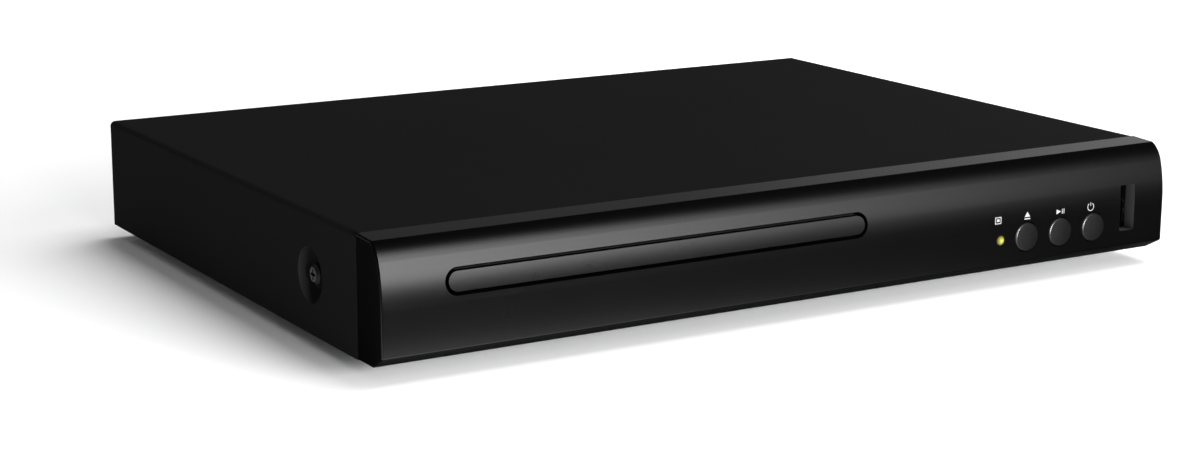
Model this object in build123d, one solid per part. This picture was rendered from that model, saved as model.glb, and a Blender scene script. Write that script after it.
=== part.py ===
from build123d import *
from math import acos, asin, cos, degrees, pi, radians, sin, sqrt, tan
import os

# Compact disc player with a sliding tray. Millimetres, x to the right, y to the rear, z up.
# The origin lies on the floor under the middle of the player.

# Case
width = 270.0
cover_depth = 183.0
body_height = 34.0
sheet = 0.8
bend_radius = 1.6
seam = 0.3
overrun = 2.0
running = 0.3
bearing = 0.08
touch = 0.02

# Front panel
panel_depth = 14.0
panel_wall = 2.2
strip_depth = 8.3
strip_drop = 0.45
shoulder_depth = 12.2
shoulder_drop = 5.4
crown_share = 0.47
chin_height = 3.3
chin_setback = 6.0
crease_radius = 0.5
chin_radius = 0.8
end_radius = 0.6
tongue_gap = 0.25
tongue_wall = 1.4
tongue_length = 5.0
tongue_root = 1.0
collar_wall = 1.2
collar_depth = 6.0
hook_shares = (-0.36, -0.02, 0.34)
hook_width = 8.0
hook_thick = 1.6
hook_height = 2.3
hook_root = 4.0
hook_reach = 2.4
hook_barb = 0.8

# Cover, its pressed dimples and the screws
dimple_y = 29.4
dimple_height = 16.5
dimple_radius = 7.8
dimple_floor = 4.2
dimple_depth = 2.6
lip_height = 9.0
lip_gap = 0.1
lip_radius = 0.5
lip_inset = 3.0
screw_shank = 1.45
screw_hole = 1.55
screw_head = 2.9
screw_cap = 1.7
screw_length = 5.0
recess_width = 0.7
recess_span = 3.0
recess_depth = 0.9
rear_screw_shares = (-0.40, 0.02, 0.42)

# Base pan, rear panel and feet
pan_gap = 0.4
flange_height = 7.0
front_flange = 5.0
tab_width = 14.0
tab_rise = 6.0
tab_gap = 0.1
standoff_radius = 3.6
pilot_radius = 1.3
vent_count = 9
vent_pitch = 7.0
vent_width = 2.6
vent_length = 30.0
vent_y = 96.0
rear_vent_count = 14
rear_vent_pitch = 6.0
rear_vent_width = 2.4
rear_vent_height = 12.0
rear_vent_rise = 16.0
panel_clear = 0.3
foot_height = 4.0
foot_radius = 9.0
foot_taper = 0.8
foot_dish = 0.8
foot_dish_radius = 5.0
foot_inset_x = 22.0
foot_inset_y = 20.0
stud_radius = 2.4
stud_rise = 1.6

# Push buttons, lamp, remote receiver and USB on the front board
button_inset = 55.5
button_pitch = 13.2
button_count = 3
control_height = 10.7
button_radius = 4.25
button_gap = 0.35
button_proud = 1.0
button_dome = 0.5
button_edge = 0.4
button_flange = 5.4
button_flange_thick = 1.0
button_travel = 0.8
stem_radius = 1.5
stem_into = 0.9
lamp_inset = 65.6
lamp_radius = 1.5
lamp_flange = 2.3
lamp_length = 4.6
lamp_dome = 0.5
lamp_wall = 1.0
led_length = 4.2
led_flange = 0.9
led_gap = 0.3
leg_width = 0.5
leg_spread = 1.27
usb_inset = 15.0
usb_height = 15.2
usb_slot_width = 5.8
usb_slot_height = 14.2
usb_slot_corner = 0.6
usb_recess = 4.5
usb_width = 5.7
usb_tall = 13.1
usb_length = 14.0
usb_wall = 0.4
usb_tongue_thick = 1.8
usb_tongue_tall = 11.1
usb_tongue_length = 9.0
usb_leg_shares = (0.3, 0.8)
receiver_inset = 48.9
receiver_drop = 11.0
receiver_width = 6.0
receiver_tall = 6.6
receiver_thick = 2.6
receiver_dome = 2.4
receiver_gap = 0.6
board_thick = 1.6
front_board_height = 6.0
front_board_lead = 4.0
front_board_inset = 4.4
front_board_start = 5.2
front_board_tail = 14.0
front_screw_insets = (61.4, 23.0)
front_screw_y = 11.0
front_boss_radius = 2.6
switch_start = 6.6
switch_depth = 3.6
switch_width = 6.2
switch_well = 1.8

# Disc, tray and tray slot
tray_inset = 86.6
slot_width = 136.2
slot_height = 7.55
slot_drop = 12.6
slot_gap = 1.1
bezel_thick = 2.5
disc_radius = 60.0
small_disc_radius = 40.0
disc_thick = 1.2
disc_margin = 0.5
tray_width = 129.0
tray_height = 6.1
tray_length = 171.5
tray_lip = 5.0
tray_travel = 130.0
tray_corner = 4.0
disc_recess = 2.7
small_recess = 0.6
tray_web = 0.95
rail_width = 7.0
opening_radius = 21.0
opening_half = 17.0
opening_reach = 70.0
guide_rib = 1.2
guide_gap = 0.5
guide_start = 5.0
guide_end = 150.0

# Gears of the loading drive
pressure = radians(25)
addendum_share = 0.8
dedendum_share = 1.05
flank_steps = 3
backlash = 0.24
rack_module = 1.2
rack_pinion_teeth = 18
rack_pinion_thick = 1.4
rack_overlap = 8.0
wheel_module = 0.8
wheel_teeth = 32
wheel_step = 0.4
wheel_thick = 3.4
gear_hub = 4.6
gear_pin = 2.0
pulley_teeth = 12
pulley_pin = 1.5
pulley_pinion = 4.6
pulley_thick = 3.0
pulley_rim = 12.2
groove_depth = 1.0
pulley_flange = 0.5
belt_thick = 1.0
belt_gap = 0.3
belt_span = 27.0
motor_radius = 10.3
motor_gap = 1.0
motor_shaft = 1.0
motor_ring = 1.2
motor_pulley_rim = 3.6

# Loader frame
lift_share = 0.171
loader_floor = 1.6
loader_wall = 2.5
loader_start = 5.0
loader_end = 172.0
wall_gap = 0.5
ledge_width = 6.0
ledge_thick = 2.0
tab_length = 10.0
tab_reach = 3.5
tab_thick = 1.5
tab_shares = (0.04, 0.42, 0.72)
front_wall_drop = 4.55
gear_setback = 16.5
loader_screw_x = 57.0
loader_screw_inset = 5.5

# Cam slider that lifts the traverse
slider_setback = 17.0
slider_thick = 3.6
slider_bar = 4.3
slider_travel = 12.0
slider_margin = 6.0
slider_top = 1.2
slider_wall = 0.75
slider_gap = 0.3
channel_depth = 0.5
slider_guide = 0.9
slider_guide_rise = 1.0
post_offset = 31.0
post_radius = 2.0
post_clear = 0.4
cam_pin_x = 30.0
cam_pin_radius = 1.5
cam_pin_rise = 1.2
cam_slack = 0.3

# Clamp over the disc
puck_clear = 0.55
puck_plate = 0.8
puck_radius = 15.5
puck_neck = 10.5
puck_bore = 8.2
puck_recess = 2.2
magnet_radius = 8.9
magnet_thick = 1.5
magnet_web = 0.3
clamp_lift = 1.0
clamp_nip = 0.3
bridge_sheet = 1.2
bridge_width = 36.0
bridge_hole = 12.0
bridge_lip = 3.0
bridge_overhang = 5.5
pad_height = 7.0
pad_width = 14.0
cap_radius = 15.0
cap_skirt = 1.6
cap_plate = 1.4
cap_gap = 0.1

# Traverse with spindle, rods, lead screw and optical pickup
pivot_inset = 12.0
pivot_drop = 1.6
pivot_pin = 2.0
pivot_reach = 7.0
pivot_wall = 1.3
pivot_post = 5.0
spindle_stack = 9.5
plate_thick = 1.4
plate_half = 42.0
plate_gap = 0.5
hub_rise = 1.9
hub_radius = 7.3
hub_top_radius = 5.6
hub_clear = 0.6
turntable_radius = 16.5
turntable_thick = 2.4
turntable_gap = 0.6
spindle_radius = 11.5
spindle_flange = 14.0
spindle_flange_thick = 1.0
shaft_radius = 1.0
rod_x = 22.0
rod_radius = 1.5
rod_rise = 2.2
rod_start = 12.0
rod_length = 72.0
holder_width = 6.0
holder_depth = 5.0
holder_over = 2.0
pickup_in = 24.0
pickup_travel = 34.0
pickup_front = 9.5
pickup_length = 30.0
pickup_half = 17.0
pickup_gap = 1.5
pickup_low = 1.4
pickup_high = 1.6
arm_front = 6.0
arm_length = 20.0
arm_half = 25.0
arm_thick = 3.6
arm_open = 0.5
turret_radius = 6.2
turret_rise = 3.4
lens_radius = 2.2
lens_rise = 1.1
lens_sink = 0.6
screw_x = 33.0
screw_drop = 2.6
screw_radius = 1.25
screw_start = 16.0
feed_radius = 4.5
feed_length = 14.0
feed_at = 62.0
feed_gap = 0.6
screw_slot = 3.0
nut_gap = 0.35
nut_thick = 1.4
nut_tall = 4.4

# Main board and rear sockets
main_gap = 9.0
main_inset = 7.0
main_depth = 118.0
main_height = 6.8
main_screw_inset = 5.0
chip_side = 23.0
chip_tall = 2.0
chip_back = 68.0
sink_side = 38.0
sink_base = 3.0
sink_tall = 13.0
sink_fins = 9
sink_fin = 1.4
memory_side_x = 9.0
memory_side_y = 13.0
memory_tall = 1.1
memory_count = 2
memory_gap = 8.0
capacitor_radius = 4.0
capacitor_tall = 11.0
capacitor_pitch = 11.0
capacitor_count = 4
capacitor_back = 36.0
capacitor_bead = 0.6
ribbon_width = 14.0
ribbon_thick = 0.3
ribbon_rise = 7.0
ribbon_gap = 0.1
socket_width = 18.0
socket_depth = 5.0
socket_tall = 2.6
socket_mouth = 1.3
front_socket_back = 6.0
hdmi_width = 14.9
hdmi_tall = 5.6
hdmi_length = 11.5
hdmi_wall = 0.4
hdmi_bevel = 2.0
hdmi_bevel_tall = 2.2
hdmi_tongue_width = 11.2
hdmi_tongue_thick = 1.0
hdmi_tongue_length = 7.5
lan_width = 16.0
lan_tall = 13.4
lan_length = 19.0
lan_mouth_width = 11.9
lan_mouth_tall = 7.6
lan_mouth_depth = 13.5
lan_mouth_rise = 2.4
lan_key_width = 6.2
lan_key_tall = 1.8
coax_block = 11.0
coax_length = 11.0
coax_barrel_radius = 4.15
coax_bore = 3.3
coax_core = 2.6
coax_socket_hole = 1.6
coax_reach = 8.0
coax_root = 2.0
coax_neck_radius = 3.8
coax_neck = 0.5
dc_width = 9.0
dc_tall = 11.0
dc_length = 14.0
dc_bore = 3.1
dc_pin = 1.0
dc_depth = 9.0

SOCKETS = 4

# Places worked out from the sizes above
overall_depth = button_proud + panel_depth + cover_depth + coax_reach
front_y = button_proud - overall_depth / 2
joint_y = front_y + panel_depth
rear_y = joint_y + cover_depth
side_x = width / 2
base_z = foot_height
top_z = base_z + body_height
floor_z = base_z + sheet
pan_x = side_x - sheet - pan_gap
pan_start = joint_y + seam
rear_outer = rear_y - sheet - lip_gap
rear_inner = rear_outer - sheet
control_z = base_z + control_height
front_top = base_z + front_board_height + board_thick
main_z = base_z + main_height
main_top = main_z + board_thick
main_rear = rear_inner - panel_clear
main_front = main_rear - main_depth
button_xs = [side_x - button_inset + button_pitch * i for i in range(button_count)]
lamp_x = side_x - lamp_inset
usb_x = side_x - usb_inset
receiver_x = side_x - receiver_inset
receiver_z = top_z - receiver_drop
front_screw_xs = [side_x - inset for inset in front_screw_insets]
front_board_left = lamp_x - front_board_lead
front_board_right = side_x - front_board_inset
tray_x = tray_inset - side_x

slot_z = top_z - slot_drop
tray_low = slot_z - tray_height / 2
tray_high = slot_z + tray_height / 2
disc_floor = tray_high - disc_recess
small_floor = disc_floor - small_recess
tray_under = small_floor - tray_web
tray_front = front_y + bezel_thick
tray_rear = tray_front + tray_length
tray_half = tray_width / 2
disc_y = tray_front + tray_lip + disc_radius + disc_margin

loader_z = floor_z + lift_share * (tray_low - floor_z)
loader_top = loader_z + loader_floor
loader_front = joint_y + loader_start
loader_rear = joint_y + loader_end
loader_in = tray_half + wall_gap
loader_half = loader_in + loader_wall
gear_y = loader_front + gear_setback
rack_radius = rack_module * rack_pinion_teeth / 2
rack_root = tray_x + tray_half - rail_width
rack_pitch_x = rack_root - dedendum_share * rack_module
gear_x = rack_pitch_x - rack_radius
wheel_radius = wheel_module * wheel_teeth / 2
pulley_radius = wheel_module * pulley_teeth / 2
pulley_x = gear_x - wheel_radius - pulley_radius
motor_x = pulley_x - belt_span
pulley_z = tray_under - rack_pinion_thick - 2 * running - pulley_thick
pulley_low = pulley_z - pulley_pinion
wheel_low = pulley_low + wheel_step
motor_height = pulley_z - motor_gap - loader_z
groove_radius = pulley_rim - groove_depth
motor_groove = motor_pulley_rim - groove_depth
motor_top = loader_z + motor_height

puck_low = tray_high + puck_clear
bridge_low = puck_low + puck_plate + clamp_lift + running
bridge_high = bridge_low + bridge_sheet
play_z = puck_low + clamp_nip - disc_thick
drop = play_z + hub_rise - tray_under + hub_clear
pivot_y = loader_rear - pivot_inset
pivot_back = pivot_y - disc_y
tilt = asin(drop / pivot_back)
plate_high = play_z - spindle_stack
plate_low = plate_high - plate_thick
pivot_z = plate_high - pivot_drop
rod_z = plate_high + rod_rise
screw_z = rod_z - screw_drop
slider_y = gear_y + slider_setback
traverse_front = slider_y + slider_thick / 2 + running + slider_guide + plate_gap
pin_x = tray_x + cam_pin_x
pin_z = plate_high + cam_pin_rise
post_x = tray_x - post_offset
lens_y = disc_y + pickup_in
main_left = tray_x + loader_half + main_gap
main_right = side_x - main_inset
main_x = (main_left + main_right) / 2
ribbon_x = (max(main_left, front_board_left) + min(main_right, front_board_right)) / 2
socket_gap = (main_right - main_left - hdmi_width - lan_width - coax_block - dc_width) / (SOCKETS + 1)
hdmi_x = main_left + socket_gap + hdmi_width / 2
lan_x = hdmi_x + hdmi_width / 2 + socket_gap + lan_width / 2
coax_x = lan_x + lan_width / 2 + socket_gap + coax_block / 2
dc_x = coax_x + coax_block / 2 + socket_gap + dc_width / 2
loader_screws_at = [
    (tray_x + side * loader_screw_x, y)
    for side in (-1, 1)
    for y in (loader_front + loader_screw_inset, loader_rear - loader_screw_inset)
]
main_screws_at = [
    (x, y)
    for x in (main_left + main_screw_inset, main_right - main_screw_inset)
    for y in (main_front + main_screw_inset, main_rear - 5 * main_screw_inset)
]
feet_at = {
    "foot_front_left": (-side_x + foot_inset_x, joint_y + foot_inset_y),
    "foot_front_right": (side_x - foot_inset_x, joint_y + foot_inset_y),
    "foot_rear_left": (-side_x + foot_inset_x, rear_y - foot_inset_y),
    "foot_rear_right": (side_x - foot_inset_x, rear_y - foot_inset_y),
}

UP = (0, 0, 1)
BACK = (0, 1, 0)
AHEAD = (0, -1, 0)
RIGHT = (1, 0, 0)


# Small helpers
def block(x_span, y_span, z_span):
    """A box between two limits on each axis."""
    spans = (x_span, y_span, z_span)
    middle = [(low + high) / 2 for low, high in spans]
    return Pos(*middle) * Box(*[high - low for low, high in spans])


def around(middle, size):
    """Two limits with the given middle."""
    return (middle - size / 2, middle + size / 2)


def rod(foot, length, radius, way=UP):
    """A round bar from its foot along a direction."""
    return extrude(Plane(foot, z_dir=way) * Circle(radius), length)


def turned(outline, foot, way=UP):
    """A solid turned about an axis from pairs of radius and height."""
    edge = Polyline(*[(r, 0, h) for r, h in outline], close=True)
    return Plane(foot, z_dir=way).location * revolve(make_face(edge), Axis.Z)


def upright(x, y, z):
    """A plane facing the rear, its own x to the right."""
    return Plane((x, y, z), x_dir=RIGHT, z_dir=BACK)


def section_plane(x):
    """A plane across the player, its own x to the rear and its own y up."""
    return Plane((x, joint_y, base_z), x_dir=BACK, z_dir=RIGHT)


def arch(half_width, low, high, radius):
    """An upright rectangle with its two upper corners rounded."""
    shape = Pos(0, (low + high) / 2) * Rectangle(2 * half_width, high - low)
    return fillet(shape.vertices().group_by(Axis.Y)[-1], radius)


def screw(foot, way):
    """A pan-head screw with a cross recess, its foot under the head and way pointing out."""
    outline = [(0, -screw_length), (screw_shank, -screw_length), (screw_shank, 0), (screw_head, 0)]
    outline += [(screw_head, screw_cap / 2), (screw_head - screw_cap / 2, screw_cap), (0, screw_cap)]
    plane = Plane(foot, z_dir=way)
    cross = Rectangle(recess_width, recess_span) + Rectangle(recess_span, recess_width)
    cut = extrude(plane.offset(screw_cap - recess_depth) * cross, recess_depth + overrun)
    return turned(outline, foot, way) - cut


def involute(angle):
    return tan(angle) - angle


def gear_outline(module, teeth, phase):
    """The toothed outline of a gear, with one tooth on the given angle."""
    pitch = module * teeth / 2
    base = pitch * cos(pressure)
    tip = pitch + addendum_share * module
    root = pitch - dedendum_share * module
    lowest = max(base, root)
    half = pi / (2 * teeth) - backlash / (4 * pitch) + involute(pressure)
    flank = [(root, half - involute(acos(base / lowest)))] if root < base else []
    for i in range(flank_steps + 1):
        radius = lowest + (tip - lowest) * i / flank_steps
        flank.append((radius, half - involute(acos(base / radius))))
    points = []
    for i in range(teeth):
        middle = phase + 2 * pi * i / teeth
        points += [(r * cos(middle - a), r * sin(middle - a)) for r, a in flank]
        points += [(r * cos(middle + a), r * sin(middle + a)) for r, a in reversed(flank)]
    return make_face(Polyline(*points, close=True))


def toothed(module, teeth, phase, x, y, low, thick):
    """A gear ring standing on its level."""
    return extrude(Plane((x, y, low)) * gear_outline(module, teeth, phase), thick)


def lowered(shape):
    """Swings a traverse piece from the playing level down to rest."""
    return shape.rotate(Axis((0, pivot_y, pivot_z), RIGHT), degrees(tilt))


def lowered_point(y, z):
    """Where a point of the traverse lies at rest."""
    dy, dz = y - pivot_y, z - pivot_z
    return (pivot_y + dy * cos(tilt) - dz * sin(tilt), pivot_z + dy * sin(tilt) + dz * cos(tilt))


# Case
def top_cover():
    back = Plane((0, rear_y, 0), x_dir=RIGHT, z_dir=AHEAD)
    outer = arch(side_x, base_z, top_z, bend_radius)
    inner = arch(side_x - sheet, base_z - overrun, top_z - sheet, bend_radius - sheet)
    cover = extrude(back * (outer - inner), cover_depth - seam)
    lip_x = (-side_x + lip_inset, side_x - lip_inset)
    cover += block(lip_x, (rear_y - sheet, rear_y), (top_z - lip_height, top_z - sheet / 2))
    for side in (-1, 1):
        mouth = (side * side_x, joint_y + dimple_y, base_z + dimple_height)
        inward = (-side, 0, 0)
        wall = [(0, 0), (dimple_radius + sheet, 0), (dimple_floor + sheet, dimple_depth + sheet)]
        cover += turned(wall + [(0, dimple_depth + sheet)], mouth, inward)
        hollow = [(0, -overrun), (dimple_radius, -overrun), (dimple_radius, 0)]
        cover -= turned(hollow + [(dimple_floor, dimple_depth), (0, dimple_depth)], mouth, inward)
        cover -= rod(mouth, dimple_depth + sheet + overrun, screw_hole, inward)
    for share in rear_screw_shares:
        hole = (share * width, rear_y - sheet - overrun, top_z - lip_height / 2)
        cover -= rod(hole, sheet + 2 * overrun, screw_hole, BACK)
    top_rear = cover.edges().filter_by(Axis.X).group_by(Axis.Z)[-1].sort_by(Axis.Y)[-1]
    return fillet(top_rear, lip_radius)


def base_pan():
    front = Plane((0, rear_inner, 0), x_dir=RIGHT, z_dir=AHEAD)
    outer = Pos(0, base_z + flange_height / 2) * Rectangle(2 * pan_x, flange_height)
    outer = fillet(outer.vertices().group_by(Axis.Y)[0], bend_radius)
    hollow = Pos(0, floor_z + flange_height) * Rectangle(2 * (pan_x - sheet), 2 * flange_height)
    hollow = fillet(hollow.vertices().group_by(Axis.Y)[0], bend_radius - sheet)
    pan = extrude(front * (outer - hollow), rear_inner - pan_start)
    inside = (-pan_x + bend_radius, pan_x - bend_radius)
    pan += block(inside, (pan_start, pan_start + sheet), (base_z, base_z + front_flange))
    pan += block(inside, (rear_inner - sheet, rear_inner), (base_z, base_z + front_flange))
    for side in (-1, 1):
        face = side * (side_x - dimple_depth - sheet - tab_gap)
        x_span = sorted((face, face - side * sheet))
        y_span = around(joint_y + dimple_y, tab_width)
        pan += block(x_span, y_span, (base_z + sheet / 2, base_z + dimple_height + tab_rise))
        hole = (face + side * overrun, joint_y + dimple_y, base_z + dimple_height)
        pan -= rod(hole, sheet + 2 * overrun, screw_hole, (-side, 0, 0))
    for x, y in loader_screws_at:
        pan += rod((x, y, base_z), loader_z - base_z, standoff_radius)
        pan -= rod((x, y, base_z - overrun), loader_z - base_z + 2 * overrun, screw_hole)
    for x, y in main_screws_at:
        pan += rod((x, y, base_z), main_height, standoff_radius)
        pan -= rod((x, y, base_z - overrun), main_height + 2 * overrun, screw_hole)
    for x, y in feet_at.values():
        pan -= rod((x, y, base_z - overrun), sheet + 2 * overrun, stud_radius + touch)
    for i in range(vent_count):
        x = main_x + vent_pitch * (i - (vent_count - 1) / 2)
        slot = SlotOverall(vent_length, vent_width, rotation=90)
        slot = Plane((x, rear_y - vent_y, base_z - overrun)) * slot
        pan -= extrude(slot, sheet + 2 * overrun)
    for share in hook_shares:
        x_span = around(share * width, hook_width + 2 * running)
        z_span = (base_z + hook_height - running, base_z + hook_height + hook_thick + running)
        pan -= block(x_span, (pan_start - overrun, pan_start + sheet + overrun), z_span)
    for side in (-1, 1):
        hole = (side * (pan_x - foot_inset_x), rear_inner - overrun, base_z + front_flange / 2 + sheet / 2)
        pan -= rod(hole, 2 * overrun, screw_hole, BACK)
    return pan


def rear_panel():
    low, high = base_z + touch, top_z - sheet - panel_clear
    panel = block((-pan_x, pan_x), (rear_inner, rear_outer), (low, high))
    panel = fillet(panel.edges().filter_by(Axis.Y), bend_radius)
    cut = sheet + 2 * overrun
    start = rear_inner - overrun
    for share in rear_screw_shares:
        panel -= rod((share * width, start, top_z - lip_height / 2), cut, screw_hole, BACK)
    for side in (-1, 1):
        hole = (side * (pan_x - foot_inset_x), start, base_z + front_flange / 2 + sheet / 2)
        panel -= rod(hole, cut, screw_hole, BACK)
    y_span = (start, start + cut)
    panel -= extrude(upright(hdmi_x, start, main_top) * hdmi_outline(panel_clear), cut)
    lan_z = (main_top - panel_clear, main_top + lan_tall + panel_clear)
    panel -= block(around(lan_x, lan_width + 2 * panel_clear), y_span, lan_z)
    coax_hole = (coax_x, start, main_top + coax_block / 2)
    panel -= rod(coax_hole, cut, coax_barrel_radius + panel_clear, BACK)
    panel -= rod((dc_x, start, main_top + dc_tall / 2), cut, dc_bore + panel_clear, BACK)
    for i in range(rear_vent_count):
        x = tray_x + rear_vent_pitch * (i - (rear_vent_count - 1) / 2)
        slot = SlotOverall(rear_vent_height, rear_vent_width, rotation=90)
        slot = upright(x, start, base_z + rear_vent_rise) * slot
        panel -= extrude(slot, cut)
    return panel


def foot(x, y):
    outline = [(0, foot_dish), (foot_dish_radius, foot_dish), (foot_dish_radius, 0)]
    outline += [(foot_radius - foot_taper, 0), (foot_radius, foot_taper), (foot_radius, foot_height)]
    outline += [(stud_radius, foot_height), (stud_radius, foot_height + sheet + stud_rise)]
    outline += [(0, foot_height + sheet + stud_rise)]
    return turned(outline, (x, y, 0))


def cover_side_screws():
    found = []
    for side in (-1, 1):
        seat = (side * (side_x - dimple_depth), joint_y + dimple_y, base_z + dimple_height)
        found.append(screw(seat, (side, 0, 0)))
    return found


def rear_screws():
    found = [screw((share * width, rear_y, top_z - lip_height / 2), BACK) for share in rear_screw_shares]
    for side in (-1, 1):
        seat = (side * (pan_x - foot_inset_x), rear_outer, base_z + front_flange / 2 + sheet / 2)
        found.append(screw(seat, BACK))
    return found


# Front panel
def panel_section():
    """The panel from the side: flat strip, rolled front, upright face and cut-back chin."""
    strip = (-strip_depth, body_height - strip_drop)
    shoulder = (-shoulder_depth, body_height - shoulder_drop)
    crown = (-panel_depth, crown_share * body_height)
    chin = (-panel_depth, chin_height)
    toe = (chin_setback - panel_depth, 0)
    lower = TangentArc(crown, shoulder, tangent=(0, 1))
    upper = TangentArc(shoulder, strip, tangent=lower % 1)
    rest = Polyline(strip, (0, body_height), (0, 0), toe, chin, crown)
    shape = make_face(Curve() + [lower, upper, rest])
    shape = fillet(shape.vertices().sort_by_distance((*strip, 0))[0], crease_radius)
    return fillet(shape.vertices().sort_by_distance((*chin, 0))[0], chin_radius)


def tray_slot(grow, start, depth):
    """The rounded slot of the tray as a prism, grown by an amount."""
    shape = SlotOverall(slot_width + 2 * grow, slot_height + 2 * grow)
    return extrude(upright(tray_x, start, slot_z) * shape, depth)


def panel_shell():
    section = panel_section()
    solid = extrude(section_plane(-side_x) * section, width)
    ends = solid.faces().filter_by(Axis.X)
    edges = [e for e in ends.edges() if e.center().Y < joint_y - seam]
    solid = fillet(edges, end_radius)
    hollow = offset(section, -panel_wall)
    tall = body_height - strip_drop - 2 * panel_wall
    back = Pos(overrun / 2 - panel_wall, panel_wall + tall / 2) * Rectangle(2 * panel_wall + overrun, tall)
    return solid - extrude(section_plane(-side_x + panel_wall) * (hollow + back), width - 2 * panel_wall)


def panel_fittings():
    """Tongue, collars, hooks and screw posts on the inside of the panel."""
    start = front_y + panel_wall - touch
    back = Plane((0, joint_y + tongue_length, 0), x_dir=RIGHT, z_dir=AHEAD)
    inset = sheet + tongue_gap
    low = base_z + flange_height + running
    outer = arch(side_x - inset, low, top_z - inset, bend_radius)
    inset += tongue_wall
    inner = arch(side_x - inset, low - overrun, top_z - inset, bend_radius)
    parts = extrude(back * (outer - inner), tongue_length + tongue_root)
    parts += tray_slot(collar_wall, start, collar_depth - panel_wall)
    usb = Rectangle(usb_slot_width + 2 * collar_wall, usb_slot_height + 2 * collar_wall)
    parts += extrude(upright(usb_x, start, base_z + usb_height) * usb, usb_recess - panel_wall - running)
    parts += rod((lamp_x, start, control_z), lamp_wall, lamp_flange + lamp_wall, BACK)
    for x in front_screw_xs:
        foot_point = (x, front_y + front_screw_y, base_z + panel_wall - touch)
        parts += rod(foot_point, front_board_height - panel_wall + touch, front_boss_radius)
    for share in hook_shares:
        x_span = around(share * width, hook_width)
        top = base_z + hook_height + hook_thick
        tip = pan_start + sheet + hook_reach
        parts += block(x_span, (joint_y - hook_root, joint_y - seam), (base_z + panel_wall - touch, top))
        parts += block(x_span, (joint_y - hook_root, tip), (base_z + hook_height, top))
        barb_span = (pan_start + sheet + running, tip)
        parts += block(x_span, barb_span, (top - touch, top + hook_barb))
    return parts


def front_panel():
    panel = panel_shell() + panel_fittings()
    panel -= tray_slot(0, front_y - overrun, collar_depth + 2 * overrun)
    usb = RectangleRounded(usb_slot_width, usb_slot_height, usb_slot_corner)
    panel -= extrude(upright(usb_x, front_y - overrun, base_z + usb_height) * usb, usb_recess + 2 * overrun)
    depth = panel_wall + 2 * overrun
    for x in button_xs:
        panel -= rod((x, front_y - overrun, control_z), depth, button_radius + button_gap, BACK)
    panel -= rod((lamp_x, front_y - overrun, control_z), depth, lamp_radius + touch, BACK)
    for x in front_screw_xs:
        hole = (x, front_y + front_screw_y, base_z + panel_wall)
        panel -= rod(hole, front_board_height, screw_hole)
    return panel


def push_button(x):
    """A domed cap with a retaining flange and a stem that reaches into its switch."""
    seat = panel_wall + running / 2
    end = switch_start + stem_into
    edge = button_dome - button_proud
    apex = (0, -button_proud)
    sag = (button_radius**2 - button_dome**2) / (2 * button_dome)
    ball = sag + button_dome
    half_r = button_radius / 2
    middle = (half_r, ball - sqrt(ball**2 - half_r**2) - button_proud)
    dome = ThreePointArc(apex, middle, (button_radius, edge))
    points = [(button_radius, edge), (button_radius, seat), (button_flange, seat)]
    points += [(button_flange, seat + button_flange_thick), (stem_radius, seat + button_flange_thick)]
    points += [(stem_radius, end), (0, end), apex]
    shape = make_face(Curve() + [dome, Polyline(*points)])
    shape = fillet(shape.vertices().sort_by_distance((button_radius, edge, 0))[0], button_edge)
    solid = revolve(Plane((0, 0, 0), x_dir=RIGHT, z_dir=AHEAD) * shape, Axis.Z)
    return Plane((x, front_y, control_z), z_dir=BACK).location * solid


def status_lens():
    end = panel_wall + lamp_wall
    outline = [(0, -lamp_dome), (lamp_radius / 2, -lamp_dome), (lamp_radius, 0), (lamp_radius, end)]
    outline += [(lamp_flange, end), (lamp_flange, lamp_length), (0, lamp_length)]
    return turned(outline, (lamp_x, front_y, control_z), BACK)


def status_led():
    start = front_y + lamp_length + led_gap
    end = start + led_length
    led = rod((lamp_x, start, control_z), led_length, lamp_radius, BACK)
    led += rod((lamp_x, end - led_flange, control_z), led_flange, lamp_flange - running, BACK)
    for side in (-1, 1):
        x_span = around(lamp_x + side * leg_spread / 2, leg_width)
        z_span = (front_top, control_z)
        led += block(x_span, (end - touch, end + leg_width), z_span)
    return led


def remote_receiver():
    start = front_y + panel_wall + receiver_gap + receiver_dome
    z = receiver_z
    y_span = (start, start + receiver_thick)
    body = block(around(receiver_x, receiver_width), y_span, around(z, receiver_tall))
    body += Pos(receiver_x, start, z) * Sphere(receiver_dome)
    for i in (-1, 0, 1):
        x_span = around(receiver_x + 2 * leg_spread * i, leg_width)
        y_span = around(start + receiver_thick - leg_width, leg_width)
        body += block(x_span, y_span, (front_top, z))
    return body


def front_board():
    y_span = (front_y + front_board_start, joint_y + front_board_tail)
    z_span = (base_z + front_board_height, front_top)
    board = block((front_board_left, front_board_right), y_span, z_span)
    board = fillet(board.edges().filter_by(Axis.Z), board_thick)
    for x in front_screw_xs:
        board -= rod((x, front_y + front_screw_y, z_span[0] - overrun), board_thick + 2 * overrun, screw_hole)
    return board


def front_board_screws():
    return [screw((x, front_y + front_screw_y, front_top), UP) for x in front_screw_xs]


def tact_switches():
    """Three side-pressed switches, each with a well for the button stem."""
    found = []
    for x in button_xs:
        start = front_y + switch_start
        top = 2 * control_z - front_top
        body = block(around(x, switch_width), (start, start + switch_depth), (front_top, top))
        body = chamfer(body.edges().filter_by(Axis.Y).group_by(Axis.Z)[-1], running)
        depth = stem_into + switch_well
        found.append(body - rod((x, start, control_z), depth, stem_radius + running, BACK))
    return found


def usb_shell():
    """A folded tube standing on edge, open to the front, on two short legs."""
    start = front_y + usb_recess
    z = base_z + usb_height
    outer = RectangleRounded(usb_width, usb_tall, usb_wall)
    inner = Rectangle(usb_width - 2 * usb_wall, usb_tall - 2 * usb_wall)
    shell = extrude(upright(usb_x, start, z) * (outer - inner), usb_length)
    low = z - usb_tall / 2
    for share in usb_leg_shares:
        y_span = around(start + share * usb_length, 4 * usb_wall)
        shell += block(around(usb_x, usb_width / 2), y_span, (front_top, low + usb_wall / 2))
    return shell


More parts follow.
